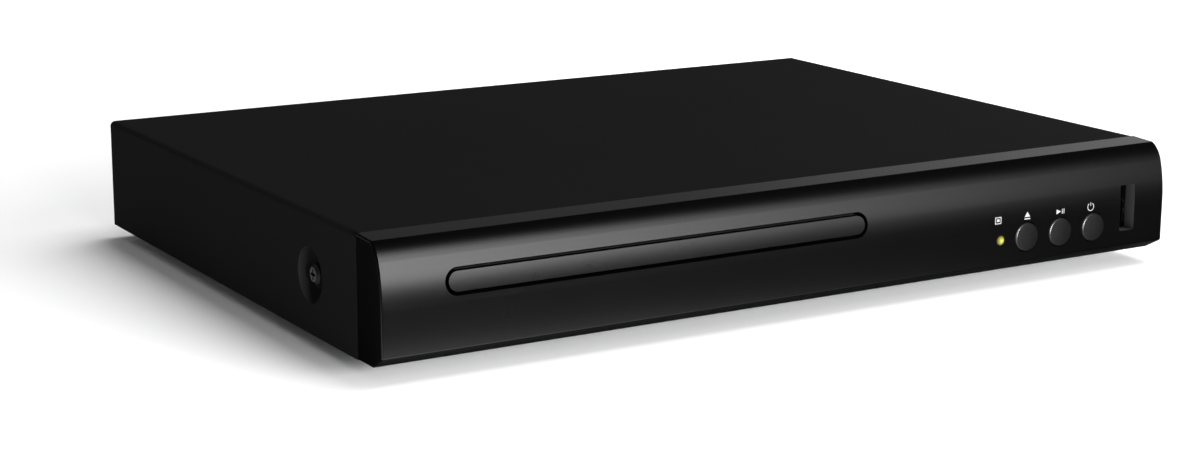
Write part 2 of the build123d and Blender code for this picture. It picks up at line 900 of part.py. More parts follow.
def usb_tongue():
    z = base_z + usb_height
    start = front_y + usb_recess + usb_length
    back = block(
        around(usb_x, usb_width - 2 * usb_wall),
        (start - usb_length + usb_tongue_length + usb_wall, start),
        around(z, usb_tall - 2 * usb_wall),
    )
    x_span = (usb_x, usb_x + usb_tongue_thick)
    ahead = (start - usb_length + 2 * usb_wall, start)
    return back + block(x_span, ahead, around(z, usb_tongue_tall))


# Main board and the sockets at the rear
def main_board():
    board = block((main_left, main_right), (main_front, main_rear), (main_z, main_top))
    board = fillet(board.edges().filter_by(Axis.Z), board_thick)
    for x, y in main_screws_at:
        board -= rod((x, y, main_z - overrun), board_thick + 2 * overrun, screw_hole)
    return board


def main_board_screws():
    return [screw((x, y, main_top), UP) for x, y in main_screws_at]


def processor():
    y_span = around(main_rear - chip_back, chip_side)
    chip = block(around(main_x, chip_side), y_span, (main_top, main_top + chip_tall))
    return chamfer(chip.edges().group_by(Axis.Z)[-1], chip_tall / 4)


def heat_sink():
    """An extruded comb of fins on the processor."""
    low = main_top + chip_tall
    pitch = (sink_side - sink_fin) / (sink_fins - 1)
    comb = Pos(0, sink_base / 2) * Rectangle(sink_side, sink_base)
    for i in range(sink_fins):
        x = pitch * i - (sink_side - sink_fin) / 2
        comb += Pos(x, sink_tall / 2) * Rectangle(sink_fin, sink_tall)
    start = main_rear - chip_back + sink_side / 2
    return extrude(Plane((main_x, start, low), x_dir=RIGHT, z_dir=AHEAD) * comb, sink_side)


def memory_chips():
    found = []
    for i in range(memory_count):
        x = main_x - sink_side / 2 + memory_side_x / 2 + i * (memory_side_x + memory_gap)
        y = main_rear - chip_back - sink_side / 2 - memory_side_y
        z_span = (main_top, main_top + memory_tall)
        found.append(block(around(x, memory_side_x), around(y, memory_side_y), z_span))
    return found


def capacitors():
    found = []
    for i in range(capacitor_count):
        x = main_x + capacitor_pitch * (i - (capacitor_count - 1) / 2)
        bead = capacitor_radius - capacitor_bead
        outline = [(0, 0), (capacitor_radius, 0), (capacitor_radius, capacitor_bead)]
        outline += [(bead, 2 * capacitor_bead), (capacitor_radius, 3 * capacitor_bead)]
        outline += [(capacitor_radius, capacitor_tall - capacitor_bead)]
        outline += [(bead, capacitor_tall), (0, capacitor_tall)]
        found.append(turned(outline, (x, main_rear - capacitor_back, main_top)))
    return found


def ribbon_ends():
    """Where the ribbon leaves its two sockets."""
    y0 = joint_y + front_board_tail - front_socket_back + socket_depth
    y1 = main_front + front_socket_back - socket_depth
    return (y0, front_top + socket_mouth), (y1, main_top + socket_mouth)


def ribbon_sockets():
    (y0, _), (y1, _) = ribbon_ends()
    x_span = around(ribbon_x, socket_width)
    first = block(x_span, (y0 - socket_depth, y0), (front_top, front_top + socket_tall))
    second = block(x_span, (y1, y1 + socket_depth), (main_top, main_top + socket_tall))
    return [chamfer(s.edges().filter_by(Axis.X).group_by(Axis.Z)[-1], ribbon_thick) for s in (first, second)]


def front_ribbon():
    (y0, z0), (y1, z1) = ribbon_ends()
    top = ((y0 + y1) / 2, (z0 + z1) / 2 + ribbon_rise)
    curve = ThreePointArc((y0 + ribbon_gap, z0), top, (y1 - ribbon_gap, z1))
    side = Plane((ribbon_x - ribbon_width / 2, 0, 0), x_dir=BACK, z_dir=RIGHT)
    return extrude(side * trace(curve, ribbon_thick), ribbon_width)


def hdmi_outline(grow):
    """The socket's mouth: a flat tube with its two lower corners cut back."""
    half = hdmi_width / 2 + grow
    low, high = grow, -hdmi_tall - grow
    points = [(-half, high), (half, high), (half, low - hdmi_bevel_tall - grow)]
    points += [(half - hdmi_bevel, low), (hdmi_bevel - half, low), (-half, low - hdmi_bevel_tall - grow)]
    return make_face(Polyline(*points, close=True))


def hdmi_shell():
    start = rear_outer - hdmi_length
    tube = hdmi_outline(0) - offset(hdmi_outline(0), -hdmi_wall)
    return extrude(upright(hdmi_x, start, main_top) * tube, hdmi_length)


def hdmi_tongue():
    start = rear_outer - hdmi_length
    root = offset(hdmi_outline(0), -hdmi_wall)
    back = extrude(upright(hdmi_x, start, main_top) * root, hdmi_length - hdmi_tongue_length - hdmi_wall)
    z = main_top + hdmi_tall / 2
    y_span = (start, rear_outer - 2 * hdmi_wall)
    return back + block(around(hdmi_x, hdmi_tongue_width), y_span, around(z, hdmi_tongue_thick))


def lan_socket():
    y_span = (rear_outer - lan_length, rear_outer)
    body = block(around(lan_x, lan_width), y_span, (main_top, main_top + lan_tall))
    mouth_y = (rear_outer - lan_mouth_depth, rear_outer + overrun)
    low = main_top + lan_mouth_rise + lan_key_tall
    body -= block(around(lan_x, lan_mouth_width), mouth_y, (low, low + lan_mouth_tall))
    body -= block(around(lan_x, lan_key_width), mouth_y, (low - lan_key_tall, low + overrun))
    return body


def coax_socket():
    """The moulded block behind the panel and the insulator inside the barrel."""
    z = main_top + coax_block / 2
    y_span = (rear_inner - panel_clear - coax_length, rear_inner - panel_clear)
    body = block(around(coax_x, coax_block), y_span, (main_top, main_top + coax_block))
    root = (coax_x, y_span[1] - coax_root, z)
    end = rear_y + coax_reach
    body -= rod(root, coax_root + overrun, coax_neck_radius + touch, BACK)
    body += rod((coax_x, root[1] - touch, z), end - root[1] - 2 * coax_root, coax_core, BACK)
    return body - rod((coax_x, root[1], z), end - root[1] + overrun, coax_socket_hole, BACK)


def coax_barrel():
    root = rear_inner - panel_clear - coax_root
    z = main_top + coax_block / 2
    neck = rear_y + coax_neck - root
    length = rear_y + coax_reach - root
    outline = [(coax_bore, 0), (coax_neck_radius, 0), (coax_neck_radius, neck), (coax_barrel_radius, neck)]
    outline += [(coax_barrel_radius, length), (coax_bore, length)]
    return turned(outline, (coax_x, root, z), BACK)


def dc_socket():
    """A block with a round collar through the panel and a pin in its bore."""
    z = main_top + dc_tall / 2
    inner = rear_inner - panel_clear
    body = block(around(dc_x, dc_width), (inner - dc_length, inner), (main_top, main_top + dc_tall))
    body -= rod((dc_x, inner - dc_depth, z), dc_depth + overrun, dc_bore, BACK)
    return body + rod((dc_x, inner - dc_depth - touch, z), dc_depth, dc_pin, BACK)


# Disc tray
def tray_deck():
    y_span = (tray_front, tray_rear)
    deck = block(around(tray_x, tray_width), y_span, (tray_low, tray_high))
    deck = fillet(deck.edges().filter_by(Axis.Z).group_by(Axis.Y)[-1], tray_corner)
    hollow = block(
        around(tray_x, tray_width - 2 * rail_width),
        (tray_front + tray_lip, tray_rear + overrun),
        (tray_low - overrun, tray_under),
    )
    deck -= hollow
    deck -= rod((tray_x, disc_y, disc_floor), disc_recess + overrun, disc_radius + disc_margin)
    deck -= rod((tray_x, disc_y, small_floor), small_recess + overrun, small_disc_radius + disc_margin)
    tall = tray_height + 2 * overrun
    deck -= rod((tray_x, disc_y, tray_low - overrun), tall, opening_radius)
    gap = Plane((tray_x, disc_y, tray_low - overrun)) * SlotCenterPoint(
        (0, opening_reach / 2), (0, opening_reach - opening_half), 2 * opening_half
    )
    return deck - extrude(gap, tall)


def rack_teeth():
    """Straight teeth on the inner side of the right rail."""
    pitch = pi * rack_module
    first = -int(rack_overlap / pitch)
    last = int((tray_rear - gear_y) / pitch) - 1
    tip = rack_pitch_x - addendum_share * rack_module
    slope = tan(pressure)
    half = pitch / 4 - backlash / 4
    root_half = half + dedendum_share * rack_module * slope
    tip_half = half - addendum_share * rack_module * slope
    points = [(rack_root + rail_width / 2, gear_y + (first - 1) * pitch)]
    for i in range(first, last + 1):
        y = gear_y + i * pitch + pitch / 2
        points += [(rack_root, y - root_half), (tip, y - tip_half)]
        points += [(tip, y + tip_half), (rack_root, y + root_half)]
    points += [(rack_root + rail_width / 2, tray_rear - tray_corner)]
    return extrude(Plane((0, 0, tray_low)) * make_face(Polyline(*points, close=True)), tray_under - tray_low)


def lock_groove():
    """Two ribs under the tray between which the slider's post runs."""
    ribs = None
    inner = post_radius + guide_gap
    z_span = (tray_low + guide_gap, tray_under + touch)
    for side, start in ((-1, guide_start), (1, -guide_start)):
        x_span = sorted((post_x + side * inner, post_x + side * (inner + guide_rib)))
        y_span = (slider_y + start, joint_y + guide_end)
        rib = block(x_span, y_span, z_span)
        ribs = rib if ribs is None else ribs + rib
    return ribs


def disc_tray():
    return tray_deck() + rack_teeth() + lock_groove()


def tray_bezel():
    """The tray's front, cut from the same rolled section as the panel."""
    front = extrude(section_plane(-side_x) * panel_section(), width)
    plug = tray_slot(-slot_gap, front_y - overrun, bezel_thick + overrun)
    return plug & front


# Loader frame and its drive
def loader_box():
    """Floor with a large opening, side walls, tray ledges and hold-down tabs."""
    y_span = (loader_front, loader_rear)
    frame = block(around(tray_x, 2 * loader_half), y_span, (loader_z, loader_top))
    opening_start = slider_y + slider_thick / 2 + running + slider_guide
    opening = (opening_start, loader_rear - loader_wall - slider_margin)
    frame -= block(
        around(tray_x, 2 * (plate_half + plate_gap)), opening, (loader_z - overrun, loader_top + overrun)
    )
    across = around(tray_x, 2 * loader_half)
    frame += block(across, (loader_front, loader_front + loader_wall), (loader_z, tray_low - front_wall_drop))
    frame += block(across, (loader_rear - loader_wall, loader_rear), (loader_z, tray_low - front_wall_drop))
    for side in (-1, 1):
        wall = sorted(tray_x + side * r for r in (loader_in, loader_half))
        frame += block(wall, y_span, (loader_z, bridge_low))
        ledge = sorted(tray_x + side * r for r in (loader_in - ledge_width, loader_half))
        high = tray_low - running
        frame += block(ledge, y_span, (high - ledge_thick, high))
        tab = sorted(tray_x + side * r for r in (loader_in - tab_reach, loader_half))
        for share in tab_shares:
            start = loader_front + share * (loader_rear - loader_front)
            z_span = (tray_high + running, tray_high + running + tab_thick)
            frame += block(tab, (start, start + tab_length), z_span)
        pad = sorted(tray_x + side * r for r in (loader_in + touch, loader_half + bridge_overhang))
        frame += block(pad, around(disc_y, pad_width), (bridge_low - pad_height, bridge_low))
    return frame


def loader_frame():
    frame = loader_box()
    frame += rod((gear_x, gear_y, loader_z), tray_under - running - loader_z, gear_pin)
    frame += rod((gear_x, gear_y, loader_z), wheel_low - running - loader_z, gear_hub)
    pulley_top = pulley_z + pulley_thick
    frame += rod((pulley_x, gear_y, loader_z), pulley_top - loader_z, pulley_pin)
    frame += rod((pulley_x, gear_y, loader_z), pulley_low - running - loader_z, 2 * pulley_pin)
    ring = motor_radius + touch + motor_ring
    frame += rod((motor_x, gear_y, loader_z), motor_height / 2 + loader_floor, ring)
    frame -= rod((motor_x, gear_y, loader_z - overrun), motor_height + 2 * overrun, motor_radius + touch)
    low, _ = slider_levels()
    x_span = (post_x - slider_travel - slider_margin, pin_x + slider_travel + slider_margin + running)
    y_span = around(slider_y, slider_thick + 2 * running)
    frame -= block(x_span, y_span, (low - slider_gap, loader_top + overrun))
    for side in (-1, 1):
        edge = slider_thick / 2 + running
        y_span = sorted((slider_y + side * edge, slider_y + side * (edge + slider_guide)))
        frame += block(x_span, y_span, (loader_top - touch, loader_top + slider_guide_rise))
        middle = tray_x + side * (plate_half + plate_gap + pivot_post / 2)
        y_span = around(pivot_y, 2 * (pivot_pin + 2 * pivot_wall))
        top = pivot_z + pivot_pin + bearing + pivot_wall
        frame += block(around(middle, pivot_post), y_span, (loader_z, top))
    frame -= rod((tray_x - loader_in + touch, pivot_y, pivot_z), 2 * loader_in, pivot_pin + bearing, RIGHT)
    for x, y in loader_screws_at:
        frame -= rod((x, y, loader_z - overrun), loader_floor + 2 * overrun, screw_hole)
    for side in (-1, 1):
        x = tray_x + side * (loader_half + bridge_overhang / 2)
        frame -= rod((x, disc_y, bridge_low - screw_length), screw_length + overrun, screw_hole)
    return frame


def loader_screws():
    found = [screw((x, y, loader_top), UP) for x, y in loader_screws_at]
    for side in (-1, 1):
        x = tray_x + side * (loader_half + bridge_overhang / 2)
        found.append(screw((x, disc_y, bridge_high), UP))
    return found


def load_motor():
    outline = [(0, 0), (motor_radius - motor_ring, 0), (motor_radius, motor_ring)]
    outline += [(motor_radius, motor_height - motor_ring), (motor_radius - motor_ring, motor_height)]
    high = pulley_z + pulley_thick - loader_z
    outline += [(motor_shaft, motor_height), (motor_shaft, high), (0, high)]
    return turned(outline, (motor_x, gear_y, loader_z))


def grooved(rim, bore, x):
    """A belt pulley: two flanges and the groove between them."""
    deep = rim - groove_depth
    lower, upper = pulley_flange, pulley_thick - pulley_flange
    outline = [(bore, 0), (rim, 0), (rim, lower), (deep, lower), (deep, upper)]
    outline += [(rim, upper), (rim, pulley_thick), (bore, pulley_thick)]
    return turned(outline, (x, gear_y, pulley_z))


def motor_pulley():
    return grooved(motor_pulley_rim, motor_shaft + bearing, motor_x)


def pulley_gear():
    low = pulley_low
    pinion = toothed(wheel_module, pulley_teeth, pi / pulley_teeth, pulley_x, gear_y, low, pulley_pinion)
    pinion -= rod((pulley_x, gear_y, low - overrun), pulley_pinion + 2 * overrun, pulley_pin + bearing)
    return pinion + grooved(pulley_rim, pulley_pin + bearing, pulley_x)


def tray_gear():
    low = wheel_low
    high = tray_under - running
    gear = toothed(wheel_module, wheel_teeth, pi, gear_x, gear_y, low, wheel_thick)
    gear += rod((gear_x, gear_y, low), high - low, gear_hub)
    foot_z = high - rack_pinion_thick
    teeth = toothed(rack_module, rack_pinion_teeth, 0, gear_x, gear_y, foot_z, rack_pinion_thick)
    gear += teeth
    return gear - rod((gear_x, gear_y, low - overrun), high - low + 2 * overrun, gear_pin + bearing)


def belt_loop(extra):
    """The outline of the belt round both grooves, grown by an amount."""
    ring = Pos(pulley_x, gear_y) * Circle(groove_radius + belt_gap + extra)
    small = Pos(motor_x, gear_y) * Circle(motor_groove + belt_gap + extra)
    return make_hull(ring.edges() + small.edges())


def drive_belt():
    low = pulley_z + pulley_thick / 2 - belt_thick / 2
    return extrude(Plane((0, 0, low)) * (belt_loop(belt_thick) - belt_loop(0)), belt_thick)


def slider_levels():
    """The foot of the slider and the height of the traverse pin at rest."""
    _, rest_z = lowered_point(slider_y, pin_z)
    slot_low = rest_z - cam_pin_radius - cam_slack
    return min(loader_top + slider_gap - channel_depth, slot_low - slider_wall), rest_z


def cam_slider():
    """A bar with an inclined slot for the traverse pin and a post for the tray groove."""
    y_span = around(slider_y, slider_thick)
    low, rest_z = slider_levels()
    slot_half = cam_pin_radius + cam_slack
    high = pin_z + slot_half + slider_top
    left, right = pin_x - slider_margin, pin_x + slider_travel + slider_margin
    slider = block((left, right), y_span, (low, high))
    slider = chamfer(slider.edges().filter_by(Axis.Y).group_by(Axis.Z)[-1], slider_top)
    slider += block((post_x - post_radius, left + overrun), y_span, (low, low + slider_bar))
    run = sqrt(slider_travel**2 + (pin_z - rest_z) ** 2)
    slot = SlotCenterToCenter(run, 2 * slot_half, rotation=-degrees(asin((pin_z - rest_z) / run)))
    middle = (pin_x + slider_travel / 2, slider_y - slider_thick, (pin_z + rest_z) / 2)
    slider -= extrude(upright(*middle) * slot, 2 * slider_thick)
    post_low = low + slider_bar / 2
    top = tray_under - post_clear
    slider += rod((post_x, slider_y, post_low), top - post_low, min(post_radius, slider_thick / 2))
    return slider


# Clamp
def clamp_bridge():
    reach = loader_half + bridge_overhang
    bridge = block(around(tray_x, 2 * reach), around(disc_y, bridge_width), (bridge_low, bridge_high))
    bridge = fillet(bridge.edges().filter_by(Axis.Z), bridge_lip)
    for side in (-1, 1):
        edge = disc_y + side * bridge_width / 2
        y_span = sorted((edge, edge - side * bridge_sheet))
        bridge += block(around(tray_x, 2 * loader_in), y_span, (bridge_low, bridge_high + bridge_lip))
    bridge -= rod((tray_x, disc_y, bridge_low - overrun), bridge_sheet + 2 * overrun, bridge_hole)
    for side in (-1, 1):
        x = tray_x + side * (loader_half + bridge_overhang / 2)
        bridge -= rod((x, disc_y, bridge_low - overrun), bridge_sheet + 2 * overrun, screw_hole)
    return bridge


def puck_heights():
    """Heights of the puck above its lower face: recess top, magnet seat and cap seat."""
    seat = puck_recess + magnet_web
    top = max(seat + magnet_thick + touch, bridge_high + cap_gap + cap_plate - puck_low)
    return puck_recess, seat, top


def clamp_puck():
    recess, seat, top = puck_heights()
    magnet = magnet_radius + touch
    outline = [(0, recess), (puck_bore, recess), (puck_bore, 0), (puck_radius, 0), (puck_radius, puck_plate)]
    outline += [(puck_neck, puck_plate), (puck_neck, top), (magnet, top), (magnet, seat), (0, seat)]
    return turned(outline, (tray_x, disc_y, puck_low))


def clamp_magnet():
    _, seat, _ = puck_heights()
    return rod((tray_x, disc_y, puck_low + seat), magnet_thick, magnet_radius)


def clamp_cap():
    _, _, top = puck_heights()
    skirt = bridge_high + cap_gap - puck_low
    inner = cap_radius - cap_skirt
    outline = [(0, top), (inner, top), (inner, skirt), (cap_radius, skirt)]
    outline += [(cap_radius, top), (cap_radius - cap_plate, top + cap_plate), (0, top + cap_plate)]
    return turned(outline, (tray_x, disc_y, puck_low))


# Traverse, made level as when playing and then lowered to rest
def traverse_frame():
    rear = pivot_y + pivot_pin
    plate = block(around(tray_x, 2 * plate_half), (traverse_front, rear), (plate_low, plate_high))
    plate = fillet(plate.edges().filter_by(Axis.Z), pivot_pin)
    opening_y = (disc_y + spindle_radius + pickup_gap, disc_y + rod_start + rod_length - holder_depth / 2)
    cut_z = (plate_low - overrun, plate_high + overrun)
    plate -= block(around(tray_x, 2 * (pickup_half + pickup_gap)), opening_y, cut_z)
    slot_y = (disc_y + screw_start, disc_y + feed_at)
    plate -= block(around(tray_x + screw_x, 2 * screw_slot), slot_y, cut_z)
    motor_y = (disc_y + feed_at - touch, disc_y + feed_at + feed_length)
    plate -= block(around(tray_x + screw_x, 2 * (feed_radius + feed_gap)), motor_y, cut_z)
    for side in (-1, 1):
        first = disc_y + rod_start - holder_depth / 2
        for start in (first, first + rod_length):
            x_span = around(tray_x + side * rod_x, holder_width)
            plate += block(x_span, (start, start + holder_depth), (plate_low, rod_z + holder_over))
        hole = (tray_x + side * rod_x, disc_y + rod_start, rod_z)
        plate -= rod(hole, rod_length, rod_radius + touch, BACK)
        pin = (tray_x + side * (plate_half - pivot_reach), pivot_y, pivot_z)
        plate += rod(pin, 2 * pivot_reach, pivot_pin, (side, 0, 0))
        pad = (tray_x + side * (plate_half - pivot_reach), tray_x + side * plate_half)
        plate += block(sorted(pad), around(pivot_y, 2 * pivot_pin), (pivot_z - pivot_pin, plate_high))
    screw_hold = (disc_y + screw_start - holder_depth, disc_y + screw_start)
    z_span = (plate_low, screw_z + 2 * screw_radius)
    plate += block(around(tray_x + screw_x, 2 * screw_slot), screw_hold, z_span)
    bore = (tray_x + screw_x, disc_y + screw_start - holder_depth / 2, screw_z)
    plate -= rod(bore, holder_depth, screw_radius + bearing, BACK)
    return plate + cam_pin()


def cam_pin():
    """The lug at the front of the traverse and the pin that rides in the slider."""
    lug = block(
        around(pin_x, 4 * cam_pin_radius),
        (traverse_front, traverse_front + 2 * cam_pin_radius),
        (plate_low, pin_z + cam_pin_radius),
    )
    reach = traverse_front - slider_y + slider_thick / 2
    foot_point = (pin_x, traverse_front + cam_pin_radius, pin_z)
    return lug + rod(foot_point, reach + cam_pin_radius, cam_pin_radius, AHEAD)


def spindle_motor():
    can = spindle_stack - turntable_thick - turntable_gap
    outline = [(0, 0), (spindle_flange, 0), (spindle_flange, spindle_flange_thick)]
    outline += [(spindle_radius, spindle_flange_thick), (spindle_radius, can), (2 * shaft_radius, can)]
    outline += [(2 * shaft_radius, can + turntable_gap / 2), (shaft_radius, can + turntable_gap / 2)]
    outline += [(shaft_radius, spindle_stack), (0, spindle_stack)]
    motor = turned(outline, (tray_x, disc_y, plate_high))
    limit = block(
        around(tray_x, 2 * spindle_flange),
        (traverse_front + touch, disc_y + spindle_radius + touch),
        (plate_high - overrun, play_z + overrun),
    )
    return motor & limit


def turntable():
    bore = shaft_radius + bearing
    low, high = -turntable_thick, hub_rise
    outline = [(bore, low), (turntable_radius, low), (turntable_radius, 0), (hub_radius, 0)]
    outline += [(hub_top_radius, high), (bore, high)]
    return turned(outline, (tray_x, disc_y, play_z))


def guide_rods():
    return [
        rod((tray_x + side * rod_x, disc_y + rod_start, rod_z), rod_length, rod_radius, BACK)
        for side in (-1, 1)
    ]


def feed_motor():
    start = disc_y + feed_at
    return rod((tray_x + screw_x, start, screw_z), feed_length, feed_radius, BACK)


def lead_screw():
    start = disc_y + screw_start - holder_depth / 2 + running
    return rod((tray_x + screw_x, start, screw_z), disc_y + feed_at - running - start, screw_radius, BACK)


def pickup():
    """The optical block: body between the rods, arms on the rods, lens turret and screw follower."""
    front = lens_y - pickup_front
    body = block(
        around(tray_x, 2 * pickup_half),
        (front, front + pickup_length),
        (plate_low - pickup_low, rod_z + pickup_high),
    )
    body = chamfer(body.edges().filter_by(Axis.Z), pickup_gap)
    arms_y = (lens_y - arm_front, lens_y - arm_front + arm_length)
    body += block(around(tray_x, 2 * arm_half), arms_y, around(rod_z, arm_thick))
    body += rod((tray_x, lens_y, rod_z), pickup_high + turret_rise, turret_radius)
    main_bore = (tray_x + rod_x, arms_y[0] - overrun, rod_z)
    body -= rod(main_bore, arm_length + 2 * overrun, rod_radius + bearing, BACK)
    fork = (tray_x - arm_half - overrun, tray_x - rod_x + rod_radius + running)
    body -= block(fork, (arms_y[0] - overrun, arms_y[1] + overrun), around(rod_z, 2 * (rod_radius + bearing)))
    follower = tray_x + screw_x - screw_radius - nut_gap
    x_span = (tray_x + arm_half - touch, follower)
    body += block(x_span, around(lens_y + arm_open, nut_tall), around(rod_z, arm_thick))
    body += block(
        (follower - nut_thick, follower), around(lens_y + arm_open, nut_tall), (screw_z - screw_radius, rod_z)
    )
    top = rod_z + pickup_high + turret_rise
    return body - rod((tray_x, lens_y, top - lens_sink), lens_sink + overrun, lens_radius + touch)


def pickup_lens():
    low = rod_z + pickup_high + turret_rise - lens_sink
    outline = [(0, 0), (lens_radius, 0), (lens_radius, lens_sink), (lens_radius * cos(pressure), lens_rise)]
    outline += [(lens_radius * sin(pressure), lens_rise + lens_sink / 2), (0, lens_rise + lens_sink / 2)]
    return turned(outline, (tray_x, lens_y, low))


FIXED = {
    "top_cover": top_cover,
    "base_pan": base_pan,
    "rear_panel": rear_panel,
    "front_panel": front_panel,
    "cover_side_screws": cover_side_screws,
    "rear_screws": rear_screws,
    "status_lens": status_lens,
    "status_led": status_led,
    "remote_receiver": remote_receiver,
    "front_board": front_board,
    "front_board_screws": front_board_screws,
    "tact_switches": tact_switches,
    "usb_shell": usb_shell,
    "usb_tongue": usb_tongue,
    "main_board": main_board,
    "main_board_screws": main_board_screws,
    "processor": processor,
    "heat_sink": heat_sink,
    "memory_chips": memory_chips,
    "capacitors": capacitors,
    "ribbon_sockets": ribbon_sockets,
    "front_ribbon": front_ribbon,
    "hdmi_shell": hdmi_shell,
    "hdmi_tongue": hdmi_tongue,
    "lan_socket": lan_socket,
    "coax_socket": coax_socket,
    "coax_barrel": coax_barrel,
    "dc_socket": dc_socket,
    "disc_tray": disc_tray,
    "tray_bezel": tray_bezel,
    "loader_frame": loader_frame,
    "loader_screws": loader_screws,
    "load_motor": load_motor,
    "motor_pulley": motor_pulley,
    "pulley_gear": pulley_gear,
    "tray_gear": tray_gear,
    "drive_belt": drive_belt,
    "cam_slider": cam_slider,
    "clamp_bridge": clamp_bridge,
    "clamp_puck": clamp_puck,
    "clamp_magnet": clamp_magnet,
    "clamp_cap": clamp_cap,
}
TILTED = {
    "traverse_frame": traverse_frame,
    "spindle_motor": spindle_motor,
    "turntable": turntable,
    "guide_rods": guide_rods,
    "feed_motor": feed_motor,
    "lead_screw": lead_screw,
    "pickup": pickup,
    "pickup_lens": pickup_lens,
}
BUTTONS = ("eject_button", "play_button", "power_button")


def save(name, shape):
    """Writes one piece, or a group of identical pieces, to its own file."""
    solids = [s for item in (shape if isinstance(shape, list) else [shape]) for s in item.solids()]
    export_step(solids[0] if len(solids) == 1 else Compound(children=solids), f"parts/{name}.step")


def build_all():
    os.makedirs("parts", exist_ok=True)
    for name, make in FIXED.items():
        save(name, make())
    for name, make in TILTED.items():
        made = make()
        pieces = made if isinstance(made, list) else [made]
        save(name, [lowered(piece) for piece in pieces])
    for name, x in zip(BUTTONS, button_xs):
        save(name, push_button(x))
    for name, (x, y) in feet_at.items():
        save(name, foot(x, y))


if __name__ == "__main__":
    build_all()
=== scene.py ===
from math import cos, sin, tau

import bmesh
import bpy
from mathutils import Matrix, Vector


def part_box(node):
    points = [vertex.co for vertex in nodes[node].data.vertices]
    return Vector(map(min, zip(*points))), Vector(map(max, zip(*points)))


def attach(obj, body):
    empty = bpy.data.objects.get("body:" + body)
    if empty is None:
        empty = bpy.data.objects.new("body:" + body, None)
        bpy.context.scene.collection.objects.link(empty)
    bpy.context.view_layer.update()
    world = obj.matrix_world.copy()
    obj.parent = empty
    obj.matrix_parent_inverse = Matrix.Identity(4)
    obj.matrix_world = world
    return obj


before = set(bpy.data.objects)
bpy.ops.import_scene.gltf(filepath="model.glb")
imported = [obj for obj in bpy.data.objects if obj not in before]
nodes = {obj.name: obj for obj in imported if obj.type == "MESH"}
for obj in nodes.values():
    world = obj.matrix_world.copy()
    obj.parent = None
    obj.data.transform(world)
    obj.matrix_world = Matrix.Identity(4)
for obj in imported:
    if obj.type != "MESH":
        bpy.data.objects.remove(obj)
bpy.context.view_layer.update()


class Wire:
    """One value on its way through a finish. Arithmetic on it adds Math nodes."""

    def __init__(self, finish, socket):
        self.finish = finish
        self.socket = socket

    def maths(self, operation, first, second):
        return self.finish.node("ShaderNodeMath", {"operation": operation}, {0: first, 1: second})

    def __add__(self, other):
        return self.maths("ADD", self, other)

    def __radd__(self, other):
        return self.maths("ADD", other, self)

    def __sub__(self, other):
        return self.maths("SUBTRACT", self, other)

    def __rsub__(self, other):
        return self.maths("SUBTRACT", other, self)

    def __mul__(self, other):
        return self.maths("MULTIPLY", self, other)

    def __rmul__(self, other):
        return self.maths("MULTIPLY", other, self)

    def __truediv__(self, other):
        return self.maths("DIVIDE", self, other)

    def __pow__(self, other):
        return self.maths("POWER", self, other)

    def __lt__(self, other):
        return self.maths("LESS_THAN", self, other)

    def __mod__(self, other):
        return self.maths("FLOORED_MODULO", self, other)


class Finish:
    """A procedural material: the Principled shader and the textures that feed it."""

    def __init__(self, name, colour, roughness, **constants):
        self.material = bpy.data.materials.new(name)
        self.material.use_nodes = True
        self.tree = self.material.node_tree
        self.shader = self.tree.nodes["Principled BSDF"]
        self.shader.inputs["Base Color"].default_value = (*colour, 1)
        self.shader.inputs["Roughness"].default_value = roughness
        for socket, value in constants.items():
            self.shader.inputs[socket.replace("_", " ")].default_value = value

    def node(self, kind, settings, sockets, take=None):
        made = self.tree.nodes.new(kind)
        for name, value in settings.items():
            setattr(made, name, value)
        for name, value in sockets.items():
            if isinstance(value, Wire):
                self.tree.links.new(value.socket, made.inputs[name])
            else:
                made.inputs[name].default_value = value
        out = made.outputs[take] if take else next(o for o in made.outputs if o.enabled)
        return Wire(self, out)

    def place(self, stretch=(1, 1, 1)):
        """Where the surface is on the piece, in metres, squeezed along the axes that get streaks."""
        here = self.node("ShaderNodeTexCoord", {}, {}, "Object")
        return self.node("ShaderNodeVectorMath", {"operation": "MULTIPLY"}, {0: here, 1: stretch})

    def along(self, axis):
        """One of the three coordinates as a plain value."""
        return self.node("ShaderNodeSeparateXYZ", {}, {0: self.place()}, axis)

    def grain(self, size, stretch=(1, 1, 1), detail=2.0):
        """Soft noise with blotches about size wide."""
        sockets = {"Vector": self.place(stretch), "Scale": 1 / size, "Detail": detail}
        return self.node("ShaderNodeTexNoise", {}, sockets)

    def cells(self, size, take="Color", **settings):
        """Crystal-like cells about size wide."""
        sockets = {"Vector": self.place(), "Scale": 1 / size}
        return self.node("ShaderNodeTexVoronoi", settings, sockets, take)

    def feed(self, socket, wire):
        self.tree.links.new(wire.socket, self.shader.inputs[socket])

    def tint(self, mask, low, high):
        """Base colour between two colours by a mask."""
        sockets = {0: mask, 6: (*low, 1), 7: (*high, 1)}
        self.feed("Base Color", self.node("ShaderNodeMix", {"data_type": "RGBA"}, sockets))

    def relief(self, height, depth):
        """A fine surface relief of that depth in metres."""
        self.feed("Normal", self.node("ShaderNodeBump", {}, {"Distance": depth, "Height": height}))

    def on(self, *names):
        for name in names:
            nodes[name].data.materials.clear()
            nodes[name].data.materials.append(self.material)


pan_zinc = Finish("pan_zinc", (0.5, 0.51, 0.52), 0.42, Metallic=1.0)
spangle = pan_zinc.cells(0.007)
rolling = pan_zinc.grain(0.0012, (1, 0.04, 1))
pan_zinc.tint(spangle * 0.6 + rolling * 0.4, (0.42, 0.43, 0.45), (0.6, 0.61, 0.62))
pan_zinc.feed("Roughness", 0.3 + spangle * 0.12 + rolling * 0.12)
pan_zinc.relief(rolling, 0.00002)
pan_zinc.on("base_pan")

